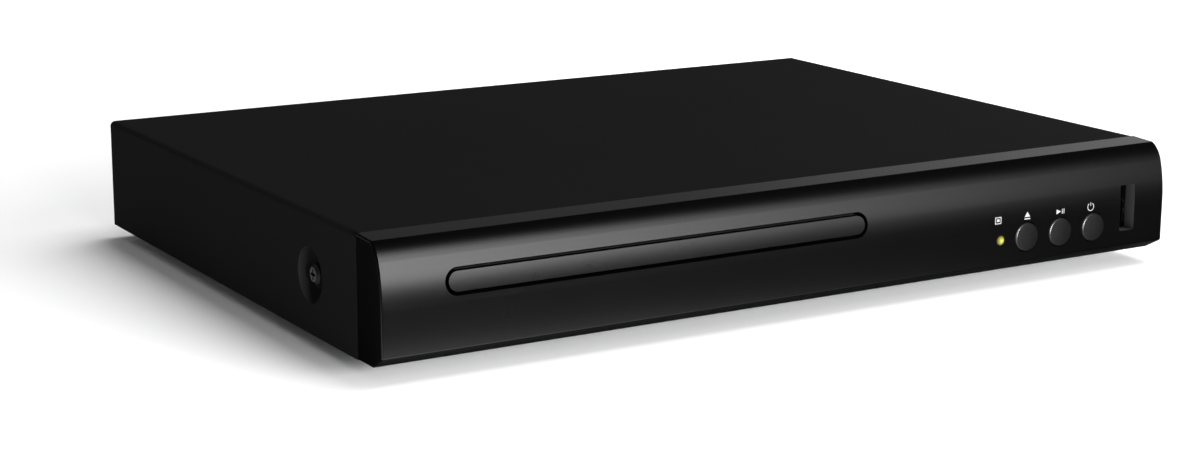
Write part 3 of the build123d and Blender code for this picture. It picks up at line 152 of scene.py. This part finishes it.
# Feet
# Four rubber pucks pressed into holes of the pan, moulded matte with a slight bloom.
# The player stands on their rims, which pick up dust.
foot_rubber = Finish("foot_rubber", (0.02, 0.02, 0.02), 0.85, Specular_IOR_Level=0.3)
bloom = foot_rubber.grain(0.004)
foot_rubber.tint(bloom, (0.014, 0.014, 0.014), (0.032, 0.031, 0.03))
foot_rubber.feed("Roughness", 0.75 + bloom * 0.2)
foot_rubber.relief(foot_rubber.grain(0.0003), 0.00004)
foot_rubber.on("foot_front_left", "foot_front_right", "foot_rear_left", "foot_rear_right")

# Loader frame
# A ribbed box moulded in black plastic, screwed to the pan, that guides the tray and bears the gears.
# The mould is spark eroded, which leaves an even fine texture and a low sheen.
loader_moulding = Finish("loader_moulding", (0.03, 0.03, 0.032), 0.55)
flow = loader_moulding.grain(0.03, (1, 0.4, 1))
loader_moulding.tint(flow, (0.022, 0.022, 0.024), (0.042, 0.042, 0.044))
loader_moulding.feed("Roughness", 0.48 + flow * 0.16)
loader_moulding.relief(loader_moulding.grain(0.0004), 0.00003)
loader_moulding.on("loader_frame")

# Drive of the tray
# A small motor in a drawn steel can turns acetal gears through a rubber belt, and a nickel plated
# pulley sits on its shaft. The cam slider is acetal too, so it runs without grease.
motor_can = Finish("motor_can", (0.55, 0.55, 0.56), 0.32, Metallic=1.0)
drawn = motor_can.grain(0.0009, (1, 1, 0.05))
motor_can.tint(drawn, (0.46, 0.46, 0.47), (0.64, 0.64, 0.64))
motor_can.feed("Roughness", 0.24 + drawn * 0.18)
motor_can.relief(drawn, 0.00001)
motor_can.on("load_motor", "spindle_motor", "feed_motor")

gear_acetal = Finish("gear_acetal", (0.8, 0.79, 0.74), 0.42, Subsurface_Weight=0.08)
milky = gear_acetal.grain(0.005)
gear_acetal.tint(milky, (0.74, 0.73, 0.67), (0.84, 0.83, 0.79))
gear_acetal.feed("Roughness", 0.36 + milky * 0.14)
gear_acetal.relief(gear_acetal.grain(0.0005), 0.00001)
gear_acetal.on("pulley_gear", "tray_gear", "cam_slider")

bright_nickel = Finish("bright_nickel", (0.68, 0.66, 0.62), 0.2, Metallic=1.0)
plating = bright_nickel.grain(0.003)
bright_nickel.tint(plating, (0.6, 0.58, 0.54), (0.74, 0.72, 0.68))
bright_nickel.feed("Roughness", 0.13 + plating * 0.16)
bright_nickel.relief(bright_nickel.grain(0.0006), 0.000004)
bright_nickel.on("motor_pulley", "coax_barrel")

belt_rubber = Finish("belt_rubber", (0.012, 0.012, 0.012), 0.6, Specular_IOR_Level=0.35)
ground = belt_rubber.grain(0.0003, (1, 1, 3))
belt_rubber.tint(ground, (0.009, 0.009, 0.009), (0.02, 0.02, 0.02))
belt_rubber.feed("Roughness", 0.5 + ground * 0.25)
belt_rubber.relief(ground, 0.00002)
belt_rubber.on("drive_belt")

# Clamp
# A pressed steel bridge spans the loader and holds a free-floating puck, whose ring magnet pulls it
# down on the turntable through the disc. The puck and its cap are moulded black plastic.
bridge_steel = Finish("bridge_steel", (0.56, 0.57, 0.58), 0.34, Metallic=1.0)
combed = bridge_steel.grain(0.0008, (0.03, 1, 1))
bridge_steel.tint(combed, (0.47, 0.48, 0.49), (0.65, 0.66, 0.67))
bridge_steel.feed("Roughness", 0.26 + combed * 0.18)
bridge_steel.relief(combed, 0.000012)
bridge_steel.on("clamp_bridge")

moulded_black = Finish("moulded_black", (0.028, 0.028, 0.029), 0.5)
sheen = moulded_black.grain(0.008)
moulded_black.tint(sheen, (0.02, 0.02, 0.021), (0.036, 0.036, 0.038))
moulded_black.feed("Roughness", 0.42 + sheen * 0.18)
moulded_black.relief(moulded_black.grain(0.00035), 0.00002)
moulded_black.on(
    "clamp_puck", "clamp_cap", "turntable", "remote_receiver", "tact_switches",
    "usb_tongue", "hdmi_tongue", "lan_socket", "dc_socket",
)

sintered = Finish("sintered_magnet", (0.18, 0.18, 0.19), 0.6, Metallic=0.6)
pores = sintered.cells(0.0006)
sintered.tint(pores, (0.13, 0.13, 0.14), (0.25, 0.25, 0.26))
sintered.feed("Roughness", 0.5 + pores * 0.25)
sintered.relief(pores, 0.00002)
sintered.on("clamp_magnet")

# Traverse and optics
# A glass-filled plastic plate hinged at the rear carries the spindle motor, two ground rods and the
# die cast pickup, which a lead screw drives. The lens is coated glass with a violet cast.
glass_filled = Finish("glass_filled", (0.1, 0.1, 0.108), 0.6)
fibres = glass_filled.grain(0.0005, (0.3, 1, 1), 4.0)
glass_filled.tint(fibres, (0.075, 0.075, 0.082), (0.14, 0.14, 0.148))
glass_filled.feed("Roughness", 0.5 + fibres * 0.2)
glass_filled.relief(fibres, 0.00003)
glass_filled.on("traverse_frame")

ground_steel = Finish("ground_steel", (0.66, 0.66, 0.66), 0.16, Metallic=1.0)
rings = ground_steel.grain(0.0005, (0.2, 1, 0.2))
ground_steel.tint(rings, (0.58, 0.58, 0.58), (0.72, 0.72, 0.72))
ground_steel.feed("Roughness", 0.1 + rings * 0.14)
ground_steel.relief(rings, 0.000004)
ground_steel.on("guide_rods", "lead_screw")

die_cast = Finish("die_cast", (0.46, 0.46, 0.48), 0.48, Metallic=1.0)
skin = die_cast.grain(0.0025, detail=4.0)
die_cast.tint(skin, (0.38, 0.38, 0.4), (0.54, 0.54, 0.56))
die_cast.feed("Roughness", 0.4 + skin * 0.2)
die_cast.relief(die_cast.grain(0.0005), 0.00003)
die_cast.on("pickup")

coated_glass = Finish("coated_glass", (0.4, 0.42, 0.75), 0.04, Transmission_Weight=0.85, IOR=1.5)
coating = coated_glass.grain(0.002)
coated_glass.tint(coating, (0.34, 0.36, 0.8), (0.5, 0.42, 0.78))
coated_glass.feed("Roughness", 0.02 + coating * 0.04)
coated_glass.on("pickup_lens")

# Disc tray
# The drawer is one black moulding with a large and a small disc recess. Its top is finely textured
# so that a disc neither sticks nor slides.
tray_texture = Finish("tray_texture", (0.022, 0.022, 0.024), 0.6)
erosion = tray_texture.grain(0.00045, detail=3.0)
tray_texture.tint(tray_texture.grain(0.04), (0.018, 0.018, 0.02), (0.028, 0.028, 0.03))
tray_texture.feed("Roughness", 0.5 + erosion * 0.2)
tray_texture.relief(erosion, 0.00005)
tray_texture.on("disc_tray")

# Boards
# Glass epoxy boards with copper tracks under a green solder mask. The tracks stand a little proud
# and look paler, and the mask is glossy.
solder_mask = Finish("solder_mask", (0.012, 0.09, 0.04), 0.3)
nest = solder_mask.cells(0.009, "Distance", distance="CHEBYCHEV") % 0.09
tracks = nest < 0.036
weave = solder_mask.grain(0.0006)
solder_mask.tint(tracks * 0.75 + weave * 0.2, (0.008, 0.06, 0.028), (0.03, 0.17, 0.075))
solder_mask.feed("Roughness", 0.26 + weave * 0.12)
solder_mask.relief(tracks + weave * 0.2, 0.00004)
solder_mask.on("main_board", "front_board")

zinc_plate = Finish("zinc_plate", (0.58, 0.58, 0.55), 0.3, Metallic=1.0)
passivation = zinc_plate.grain(0.0012)
zinc_plate.tint(passivation, (0.48, 0.49, 0.47), (0.66, 0.65, 0.6))
zinc_plate.feed("Roughness", 0.22 + passivation * 0.2)
zinc_plate.relief(zinc_plate.grain(0.0004), 0.00001)
zinc_plate.on("main_board_screws", "front_board_screws", "loader_screws")

# Parts on the main board
# The processor sits under an extruded aluminium sink, with memory chips in moulded epoxy beside it,
# sleeved aluminium capacitors, and white film sockets with a flat ribbon to the front board.
chip_epoxy = Finish("chip_epoxy", (0.022, 0.022, 0.024), 0.55)
filler = chip_epoxy.grain(0.00025)
chip_epoxy.tint(filler, (0.016, 0.016, 0.018), (0.032, 0.032, 0.034))
chip_epoxy.feed("Roughness", 0.48 + filler * 0.18)
chip_epoxy.relief(filler, 0.00002)
chip_epoxy.on("processor", "memory_chips")

extruded = Finish("extruded_aluminium", (0.62, 0.63, 0.65), 0.38, Metallic=1.0)
die_lines = extruded.grain(0.0007, (1, 0.02, 1))
extruded.tint(die_lines, (0.54, 0.55, 0.57), (0.7, 0.71, 0.73))
extruded.feed("Roughness", 0.3 + die_lines * 0.2)
extruded.relief(die_lines, 0.00002)
extruded.on("heat_sink")

can_sleeve = Finish("can_sleeve", (0.5, 0.51, 0.54), 0.35, Metallic=0.9)
spun = can_sleeve.grain(0.0008, (1, 1, 0.1))
can_sleeve.tint(spun, (0.42, 0.43, 0.46), (0.58, 0.59, 0.62))
can_sleeve.feed("Roughness", 0.28 + spun * 0.16)
can_sleeve.relief(spun, 0.00001)
can_sleeve.on("capacitors")

socket_nylon = Finish("socket_nylon", (0.74, 0.72, 0.66), 0.5)
nylon = socket_nylon.grain(0.003)
socket_nylon.tint(nylon, (0.68, 0.66, 0.59), (0.79, 0.77, 0.72))
socket_nylon.feed("Roughness", 0.44 + nylon * 0.14)
socket_nylon.relief(socket_nylon.grain(0.0003), 0.00001)
socket_nylon.on("ribbon_sockets")

ribbon_film = Finish("ribbon_film", (0.76, 0.77, 0.8), 0.35)
conductors = (ribbon_film.along("X") % 0.001) < 0.0006
ribbon_film.tint(conductors, (0.8, 0.81, 0.83), (0.55, 0.56, 0.6))
ribbon_film.feed("Roughness", 0.3 + conductors * 0.08)
ribbon_film.relief(conductors, 0.00003)
ribbon_film.on("front_ribbon")

# Sockets
# Folded tin plate shells around black moulded tongues, in front and behind, an orange coaxial block
# with a nickel barrel, a network jack and a barrel inlet, all soldered to the boards. Gold plated
# contacts lie on the tongues and in the jack.
tin_plate = Finish("tin_plate", (0.7, 0.7, 0.69), 0.24, Metallic=1.0)
tinning = tin_plate.grain(0.002)
tin_plate.tint(tinning, (0.62, 0.62, 0.61), (0.76, 0.76, 0.75))
tin_plate.feed("Roughness", 0.17 + tinning * 0.16)
tin_plate.relief(tin_plate.grain(0.0005), 0.000006)
tin_plate.on("usb_shell", "hdmi_shell")

coax_orange = Finish("coax_orange", (0.75, 0.24, 0.02), 0.4)
pigment = coax_orange.grain(0.004)
coax_orange.tint(pigment, (0.68, 0.2, 0.016), (0.8, 0.28, 0.026))
coax_orange.feed("Roughness", 0.34 + pigment * 0.14)
coax_orange.relief(coax_orange.grain(0.0004), 0.00001)
coax_orange.on("coax_socket")

contact_gold = Finish("contact_gold", (0.85, 0.6, 0.25), 0.22, Metallic=1.0)
wear = contact_gold.grain(0.001)
contact_gold.tint(wear, (0.78, 0.54, 0.22), (0.9, 0.66, 0.3))
contact_gold.feed("Roughness", 0.16 + wear * 0.16)
contact_gold.relief(contact_gold.grain(0.0003), 0.000004)


def piece(name, body, finish, shape):
    """A mesh made where it sits on the player, which rides on a body."""
    mesh = bpy.data.meshes.new(name)
    bmesh.ops.recalc_face_normals(shape, faces=shape.faces)
    shape.to_mesh(mesh)
    shape.free()
    mesh.materials.append(finish.material)
    made = bpy.data.objects.new(name, mesh)
    bpy.context.scene.collection.objects.link(made)
    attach(made, body)
    return made


def leaf(shape, path, thick, across):
    """A bent strip of sheet along path: thick is the step to its other face, across its width."""
    rows = []
    for point in path:
        corners = (point, point + thick, point + thick + across, point + across)
        rows.append([shape.verts.new(corner) for corner in corners])
    for near, far in zip(rows, rows[1:]):
        for i in range(4):
            j = (i + 1) % 4
            shape.faces.new((near[i], near[j], far[j], far[i]))
    shape.faces.new(rows[0])
    shape.faces.new(rows[-1][::-1])


contact_sheet = 0.00015
nose_drop = 0.0003
tongue_low, tongue_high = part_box("usb_tongue")
usb_face = 0.12
usb_rows = (-0.0035, -0.001, 0.001, 0.0035)
usb_middle = (tongue_low.z + tongue_high.z) / 2
usb_strip = 0.001
usb_contacts = bmesh.new()
for row in usb_rows:
    z = usb_middle + row - usb_strip / 2
    ahead = tongue_low.y + 0.0012
    steps = ((0.0, nose_drop), (0.0006, 0.0), (0.007, 0.0))
    path = [Vector((usb_face - contact_sheet + sink, ahead + way, z)) for way, sink in steps]
    leaf(usb_contacts, path, Vector((nose_drop, 0, 0)), Vector((0, 0, usb_strip)))
piece("usb_contacts", "case", contact_gold, usb_contacts)

shell_low, shell_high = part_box("hdmi_shell")
hdmi_x = (shell_low.x + shell_high.x) / 2
hdmi_z = (shell_low.z + shell_high.z) / 2
tongue_half = 0.0005
hdmi_pitch = 0.001
hdmi_strip = 0.0004
hdmi_contacts = bmesh.new()
for side, count in ((1, 10), (-1, 9)):
    for i in range(count):
        x = hdmi_x + (i - (count - 1) / 2) * hdmi_pitch - hdmi_strip / 2
        steps = ((0.0012, -0.0001), (0.0016, 0.00008), (0.0064, 0.00008))
        path = [Vector((x, shell_high.y - way, hdmi_z + side * (tongue_half + lift))) for way, lift in steps]
        leaf(hdmi_contacts, path, Vector((0, 0, -side * contact_sheet)), Vector((hdmi_strip, 0, 0)))
piece("hdmi_contacts", "case", contact_gold, hdmi_contacts)

jack_low, jack_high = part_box("lan_socket")
jack_x = (jack_low.x + jack_high.x) / 2
mouth_top = jack_low.z + 0.0118
wire_pitch = 0.00102
wire = 0.00045
lan_contacts = bmesh.new()
for i in range(8):
    x = jack_x + (i - 3.5) * wire_pitch - wire / 2
    steps = ((0.0025, 0.0), (0.0033, 0.0006), (0.0095, 0.0034), (0.0105, 0.0034))
    path = [Vector((x, jack_high.y - way, mouth_top - drop - wire)) for way, drop in steps]
    leaf(lan_contacts, path, Vector((0, 0, wire)), Vector((wire, 0, 0)))
piece("lan_contacts", "case", contact_gold, lan_contacts)

# Rear panel
# Folded steel with a satin black powder coat, slotted for air and pierced for the sockets.
# It is held by the cover's rear screws.
rear_coat = Finish("rear_coat", (0.016, 0.016, 0.017), 0.55, Specular_IOR_Level=0.3)
peel = rear_coat.grain(0.0007)
rear_coat.tint(rear_coat.grain(0.03), (0.013, 0.013, 0.014), (0.02, 0.02, 0.021))
rear_coat.feed("Roughness", 0.48 + peel * 0.14)
rear_coat.relief(peel, 0.00003)
rear_coat.on("rear_panel")

# Status lamp
# A small yellow diode behind a clear tinted lens pressed into the front panel. It glows when the
# player has power.
lamp_glow = Finish("lamp_glow", (0.25, 0.22, 0.03), 0.25, Specular_IOR_Level=0.2, Emission_Strength=1.0)
lamp_x, lamp_z, lamp_radius = 0.0694, 0.0147, 0.0019
across = (lamp_glow.along("X") - lamp_x) / lamp_radius
height = (lamp_glow.along("Z") - lamp_z) / lamp_radius
fade = 1 - (across * across + height * height) ** 0.5
core = fade * 1.45 - 0.38 + lamp_glow.grain(0.0006) * 0.06
lamp_glow.tint(core, (0.05, 0.045, 0.008), (0.3, 0.28, 0.05))
glow = {0: core, 6: (0.012, 0.011, 0.002, 1), 7: (0.74, 0.73, 0.13, 1)}
lamp_glow.feed("Emission Color", lamp_glow.node("ShaderNodeMix", {"data_type": "RGBA"}, glow))
lamp_glow.feed("Roughness", 0.22 + core * 0.1)
lamp_glow.on("status_lens", "status_led")

# Front panel and tray front
# One black moulding, rolled over from a flat strip at the top to an upright face below, hooked to the
# case. The show face is polished, the ends, the underside and the gaps keep the mould's matte, and the
# USB slot's inner walls are painted pale grey, a painted lift that stands in for the light falling in.
panel_gloss = Finish("panel_gloss", (0.001, 0.001, 0.0011), 0.26, Specular_IOR_Level=0.035)
ripple = panel_gloss.grain(0.02)
dust = panel_gloss.grain(0.0005)
panel_gloss.tint(ripple, (0.0009, 0.0009, 0.001), (0.0012, 0.0012, 0.0013))
panel_gloss.feed("Roughness", 0.245 + ripple * 0.02 + dust * 0.02)
panel_gloss.relief(dust, 0.000002)

panel_matte = Finish("panel_matte", (0.0013, 0.0013, 0.0014), 0.7, Specular_IOR_Level=0.006)
etch = panel_matte.grain(0.0004)
panel_matte.tint(etch, (0.0011, 0.0011, 0.0012), (0.0016, 0.0016, 0.0017))
panel_matte.feed("Roughness", 0.64 + etch * 0.12)
panel_matte.relief(etch, 0.00002)

# Painted lift: the slot's inner walls, black moulding in truth, get a pale grey that stands in for the light
# falling into the slot.
recess_painted_lift = Finish("recess_painted_lift", (0.1, 0.1, 0.101), 0.5, Specular_IOR_Level=0.0)
eroded = recess_painted_lift.grain(0.0004)
recess_painted_lift.tint(eroded, (0.09, 0.09, 0.091), (0.11, 0.11, 0.111))
recess_painted_lift.feed("Roughness", 0.44 + eroded * 0.12)
recess_painted_lift.relief(eroded, 0.00001)

strip_low = 0.0365
usb_x, usb_z = 0.12, 0.0192
usb_half_wide, usb_half_tall = 0.0031, 0.0073
for name in ("front_panel", "tray_bezel"):
    mesh = nodes[name].data
    mesh.materials.clear()
    for finish in (panel_gloss, panel_matte, recess_painted_lift):
        mesh.materials.append(finish.material)
    for face in mesh.polygons:
        shown = face.center.z > strip_low or (face.normal.y < -0.2 and face.normal.z > -0.2)
        in_slot = abs(face.center.x - usb_x) < usb_half_wide and abs(face.center.z - usb_z) < usb_half_tall
        face.material_index = 2 if in_slot else 0 if shown else 1

# Printed marks
# White signs pad-printed above the buttons and the lamp: eject, play and pause, power, and a plain
# mark for the remote sensor.
mark_ink = Finish("mark_ink", (0.75, 0.75, 0.74), 0.5)
ink = mark_ink.grain(0.0003)
mark_ink.tint(ink, (0.66, 0.66, 0.65), (0.8, 0.8, 0.79))
mark_ink.feed("Roughness", 0.42 + ink * 0.16)
mark_ink.relief(ink, 0.000004)
ink_proud = 0.00003
ink_root = 0.00002
ray_start = -0.2


def on_panel(x, z, proud):
    """The point of the panel's face at x and z, lifted by proud."""
    found, place, normal, _ = nodes["front_panel"].ray_cast(Vector((x, ray_start, z)), Vector((0, 1, 0)))
    if not found:
        raise ValueError(f"no panel behind {x:.4f}, {z:.4f}")
    return place + normal * proud


def printed(name, x, z, outlines):
    """Closed flat prints on the panel, each from an outline of steps from x and z."""
    shape = bmesh.new()
    for outline in outlines:
        front = [shape.verts.new(on_panel(x + right, z + up, ink_proud)) for right, up in outline]
        back = [shape.verts.new(on_panel(x + right, z + up, -ink_root)) for right, up in outline]
        shape.faces.new(front)
        shape.faces.new(back[::-1])
        for i in range(len(outline)):
            j = (i + 1) % len(outline)
            shape.faces.new((front[i], back[i], back[j], front[j]))
    return piece(name, "case", mark_ink, shape)


def bar(left, low, right, high):
    return [(left, low), (right, low), (right, high), (left, high)]


def ring_pieces(radius, width, start, turn, count):
    """A ring or an open arc as a row of four-cornered prints."""
    quads = []
    for i in range(count):
        a, b = (start + turn * k / count for k in (i, i + 1))
        inner, outer = radius - width / 2, radius + width / 2
        corners = ((inner, a), (outer, a), (outer, b), (inner, b))
        quads.append([(r * sin(t), r * cos(t)) for r, t in corners])
    return quads


eject_x, play_x, power_x, sensor_x = 0.0795, 0.0926, 0.1048, 0.0682
printed("eject_mark", eject_x, 0.0211, [
    [(-0.0011, -0.0003), (0.0011, -0.0003), (0.0, 0.00125)],
    bar(-0.0011, -0.00105, 0.0011, -0.0007),
])
printed("play_mark", play_x, 0.021, [
    [(-0.00155, -0.00075), (0.00025, 0.0), (-0.00155, 0.00075)],
    bar(0.00062, -0.00075, 0.00088, 0.00075),
    bar(0.00129, -0.00075, 0.00155, 0.00075),
])
printed("power_mark", power_x, 0.0211, [
    *ring_pieces(0.00118, 0.00024, 0.1 * tau, 0.8 * tau, 32),
    bar(-0.00012, 0.0003, 0.00012, 0.00135),
])
printed("sensor_mark", sensor_x, 0.0209, [
    bar(-0.0012, 0.0008, 0.0012, 0.00105),
    bar(-0.0012, -0.00105, 0.0012, -0.0008),
    bar(-0.0012, -0.0008, -0.00092, 0.0008),
    bar(0.00092, -0.0008, 0.0012, 0.0008),
    bar(-0.0005, -0.0004, 0.0005, 0.0004),
])

# Buttons
# Three domed caps of dark grey plastic that slide in round holes of the panel, satin on top
# so that a fingertip finds them.
button_satin = Finish("button_satin", (0.008, 0.008, 0.0082), 0.36, Specular_IOR_Level=0.04)
touch = button_satin.grain(0.003)
button_satin.tint(touch, (0.0072, 0.0072, 0.0074), (0.0088, 0.0088, 0.009))
button_satin.feed("Roughness", 0.32 + touch * 0.08)
button_satin.relief(button_satin.grain(0.0004), 0.000006)
button_satin.on("eject_button", "play_button", "power_button")

# Top cover
# Sheet steel folded into a U over the pan, with a matte black powder coat and one pressed
# dimple for the screw in each side.
cover_coat = Finish("cover_coat", (0.0087, 0.0087, 0.0089), 0.7, Specular_IOR_Level=0.004)
orange_peel = cover_coat.grain(0.0006)
drift = cover_coat.grain(0.05)
cover_coat.tint(drift, (0.0082, 0.0082, 0.0084), (0.0092, 0.0092, 0.0094))
cover_coat.feed("Roughness", 0.64 + orange_peel * 0.12)
cover_coat.relief(orange_peel, 0.00002)
cover_coat.on("top_cover")

# Case screws
# Pan-head screws with a cross recess, black oxide on steel, two in the side dimples and
# five along the rear.
black_oxide = Finish("black_oxide", (0.016, 0.016, 0.0165), 0.45, Metallic=0.3, Specular_IOR_Level=0.2)
oxide = black_oxide.grain(0.0008)
black_oxide.tint(oxide, (0.011, 0.011, 0.0115), (0.022, 0.0215, 0.021))
black_oxide.feed("Roughness", 0.36 + oxide * 0.2)
black_oxide.relief(black_oxide.grain(0.0003), 0.00001)
black_oxide.on("cover_side_screws", "rear_screws")

# Floor
# A wide sheet of white studio card under the player, which keeps its shadow.
# The camera and the reflections see it paler away from the player.
card_reach = 12.0
card = bmesh.new()
bmesh.ops.create_grid(card, x_segments=8, y_segments=8, size=card_reach)
card_mesh = bpy.data.meshes.new("studio_card")
card.to_mesh(card_mesh)
card.free()
floor = bpy.data.objects.new("studio_card", card_mesh)
bpy.context.scene.collection.objects.link(floor)
white_card = Finish("white_card", (0.92, 0.92, 0.92), 0.9, Specular_IOR_Level=0.0, Emission_Strength=1.0)
away = (white_card.along("X") ** 2 + white_card.along("Y") ** 2) ** 0.5
paler = white_card.node("ShaderNodeClamp", {}, {0: (away - 0.2) / 0.5})
seen_by = ("Camera", "Glossy", "Transmission")
rays = [white_card.node("ShaderNodeLightPath", {}, {}, f"Is {kind} Ray") for kind in seen_by]
glow = {0: paler * (rays[0] + rays[1] + rays[2]), 6: (0, 0, 0, 1), 7: (1, 1, 1, 1)}
white_card.feed("Emission Color", white_card.node("ShaderNodeMix", {"data_type": "RGBA"}, glow))
white_card.material.cycles.emission_sampling = "NONE"
white_card.feed("Roughness", 0.85 + white_card.grain(0.2) * 0.1)
card_mesh.materials.append(white_card.material)

# Light
# A wide soft box overhead and to the right gives the light and the shadow, and a small one in front fills
# the marks. Others reach only the floor, the screw dimple or the button caps. Graded cards that only
# reflections show give the gloss of the rolled face, its strip, its lower edge and the caps.
world = bpy.data.worlds.new("studio")
bpy.context.scene.world = world
world.use_nodes = True
world.node_tree.nodes["Background"].inputs["Color"].default_value = (1, 1, 1, 1)
world.node_tree.nodes["Background"].inputs["Strength"].default_value = 0.13


def soft_box(name, place, aim, wide, tall, radiance):
    """A rectangular area lamp of that brightness, turned towards aim, that reflections don't show."""
    lamp = bpy.data.lights.new(name, "AREA")
    lamp.shape = "RECTANGLE"
    lamp.size = wide
    lamp.size_y = tall
    lamp.energy = radiance * wide * tall * tau / 2
    made = bpy.data.objects.new(name, lamp)
    made.location = place
    made.rotation_mode = "QUATERNION"
    made.rotation_quaternion = (Vector(aim) - Vector(place)).to_track_quat("-Z", "Y")
    made.visible_camera = False
    made.visible_glossy = False
    bpy.context.scene.collection.objects.link(made)
    return made


def shines_on(lamp, name, lit):
    """Lets a lamp or a glowing card reach only these objects."""
    lamp.light_linking.receiver_collection = bpy.data.collections.new(name)
    for each in lit:
        lamp.light_linking.receiver_collection.objects.link(each)


soft_box("key_box", (1.35, 0.4, 2.0), (1.35, 0.4, 0), 2.5, 2.7, 3.7)
soft_box("fill_box", (0.456, -1.5, 0.24), (0, -0.1, 0.03), 0.6, 0.28, 20.0)
low_box = soft_box("low_box", (0.2, -0.75, 0.2), (0.1, -0.1, 0), 1.0, 0.15, 19.0)
tall_box = soft_box("tall_box", (0.2, -0.6, 0.3), (0.1, -0.1, 0), 1.0, 0.5, 1.5)
shines_on(low_box, "floor_low", [floor])
shines_on(tall_box, "floor_tall", [floor])
corner_box = soft_box("corner_box", (-0.15, -0.2, 0.05), (-0.14, -0.1, 0), 0.04, 0.04, 9.0)
shines_on(corner_box, "floor_corner", [floor])
side_box = soft_box("side_box", (-0.2, -0.856, 0.06), (-0.135, -0.0586, 0.02), 0.12, 0.12, 450.0)
shines_on(side_box, "cover_only", [nodes["top_cover"]])
cap_box = soft_box("cap_box", (-0.6, -0.25, 0.2), (0.09, -0.1, 0.015), 0.3, 0.3, 130.0)
caps = [nodes[name] for name in ("eject_button", "play_button", "power_button")]
shines_on(cap_box, "caps_shade", caps)


def graded_card(name, corners, finish, mask):
    """A card that only reflections show, bright where its mask is."""
    shape = bmesh.new()
    shape.faces.new([shape.verts.new(corner) for corner in corners])
    mesh = bpy.data.meshes.new(name)
    shape.to_mesh(mesh)
    shape.free()
    made = bpy.data.objects.new(name, mesh)
    bpy.context.scene.collection.objects.link(made)
    colours = {0: mask, 6: (0, 0, 0, 1), 7: (1, 1, 1, 1)}
    finish.feed("Emission Color", finish.node("ShaderNodeMix", {"data_type": "RGBA"}, colours))
    mesh.materials.append(finish.material)
    made.visible_camera = False
    made.visible_diffuse = False
    made.visible_shadow = False
    return made


def upright_corners(start, end, low, high):
    return [(*foot, level) for foot, level in ((start, low), (end, low), (end, high), (start, high))]


def fading(finish, start, end, axis):
    """A mask of 1 before start that falls to 0 at end."""
    return finish.node("ShaderNodeClamp", {}, {0: (end - finish.along(axis)) / (end - start)})


rolled_front = [nodes["front_panel"], nodes["tray_bezel"]]

strip_glow = Finish("strip_glow", (0, 0, 0), 1.0, Specular_IOR_Level=0.0, Emission_Strength=2.5)
strip_mask = 1 - fading(strip_glow, 0.6, 1.2, "X") * 0.85
graded_card("strip_card", upright_corners((0.2, 1.25), (1.35, 0.1), 0.0, 0.5), strip_glow, strip_mask)

band_glow = Finish("band_glow", (0, 0, 0), 1.0, Specular_IOR_Level=0.0, Emission_Strength=118.0)
band_mask = fading(band_glow, 0.52, 1.62, "X") ** 2.1 * fading(band_glow, 0.0, 2.4, "Z") ** 1.05
band_corners = upright_corners((-0.2, -1.5), (1.7, -1.5), 0.05, 2.4)
band_card = graded_card("band_card", band_corners, band_glow, band_mask)
shines_on(band_card, "rolled_front", rolled_front)

hem_glow = Finish("hem_glow", (0, 0, 0), 1.0, Specular_IOR_Level=0.0, Emission_Strength=22.0)
hem_mask = (1 - fading(hem_glow, -0.142, -0.118, "Y")) ** 2 * fading(hem_glow, -0.13, 0.12, "X") ** 1.5
hem_corners = ((-0.4, -0.9, 0.0003), (1.0, -0.9, 0.0003), (1.0, -0.104, 0.0003), (-0.4, -0.104, 0.0003))
hem_card = graded_card("hem_card", hem_corners, hem_glow, hem_mask)
shines_on(hem_card, "panel_hem", rolled_front)

cap_glow = Finish("cap_glow", (0, 0, 0), 1.0, Specular_IOR_Level=0.0, Emission_Strength=400.0)
cap_mask = fading(cap_glow, 0.9, 1.4, "Z")
cap_card = graded_card("cap_card", upright_corners((-0.6, -0.95), (-0.6, -0.1), 0.0, 1.4), cap_glow, cap_mask)
shines_on(cap_card, "caps_edge", caps)

# Camera
# Where the photograph was taken from, worked out from the corners of the case.
# It stands to the left and a little above, with a long lens.
camera_place = Vector((-0.38735, -0.62361, 0.17567))
azimuth, elevation, roll = -0.546258, 0.226795, 0.0052148
back = Vector((sin(azimuth) * cos(elevation), -cos(azimuth) * cos(elevation), sin(elevation)))
level = Vector((cos(azimuth), sin(azimuth), 0))
rise = back.cross(level)
right = cos(roll) * level + sin(roll) * rise
upward = -sin(roll) * level + cos(roll) * rise
lens = bpy.data.cameras.new("photo_camera")
lens.sensor_fit = "HORIZONTAL"
lens.sensor_width = 36.0
lens.lens = 70.68
camera = bpy.data.objects.new("photo_camera", lens)
camera.matrix_world = Matrix.Translation(camera_place) @ Matrix((right, upward, back)).transposed().to_4x4()
bpy.context.scene.collection.objects.link(camera)
bpy.context.scene.camera = camera
bpy.context.scene.view_settings.view_transform = "Standard"
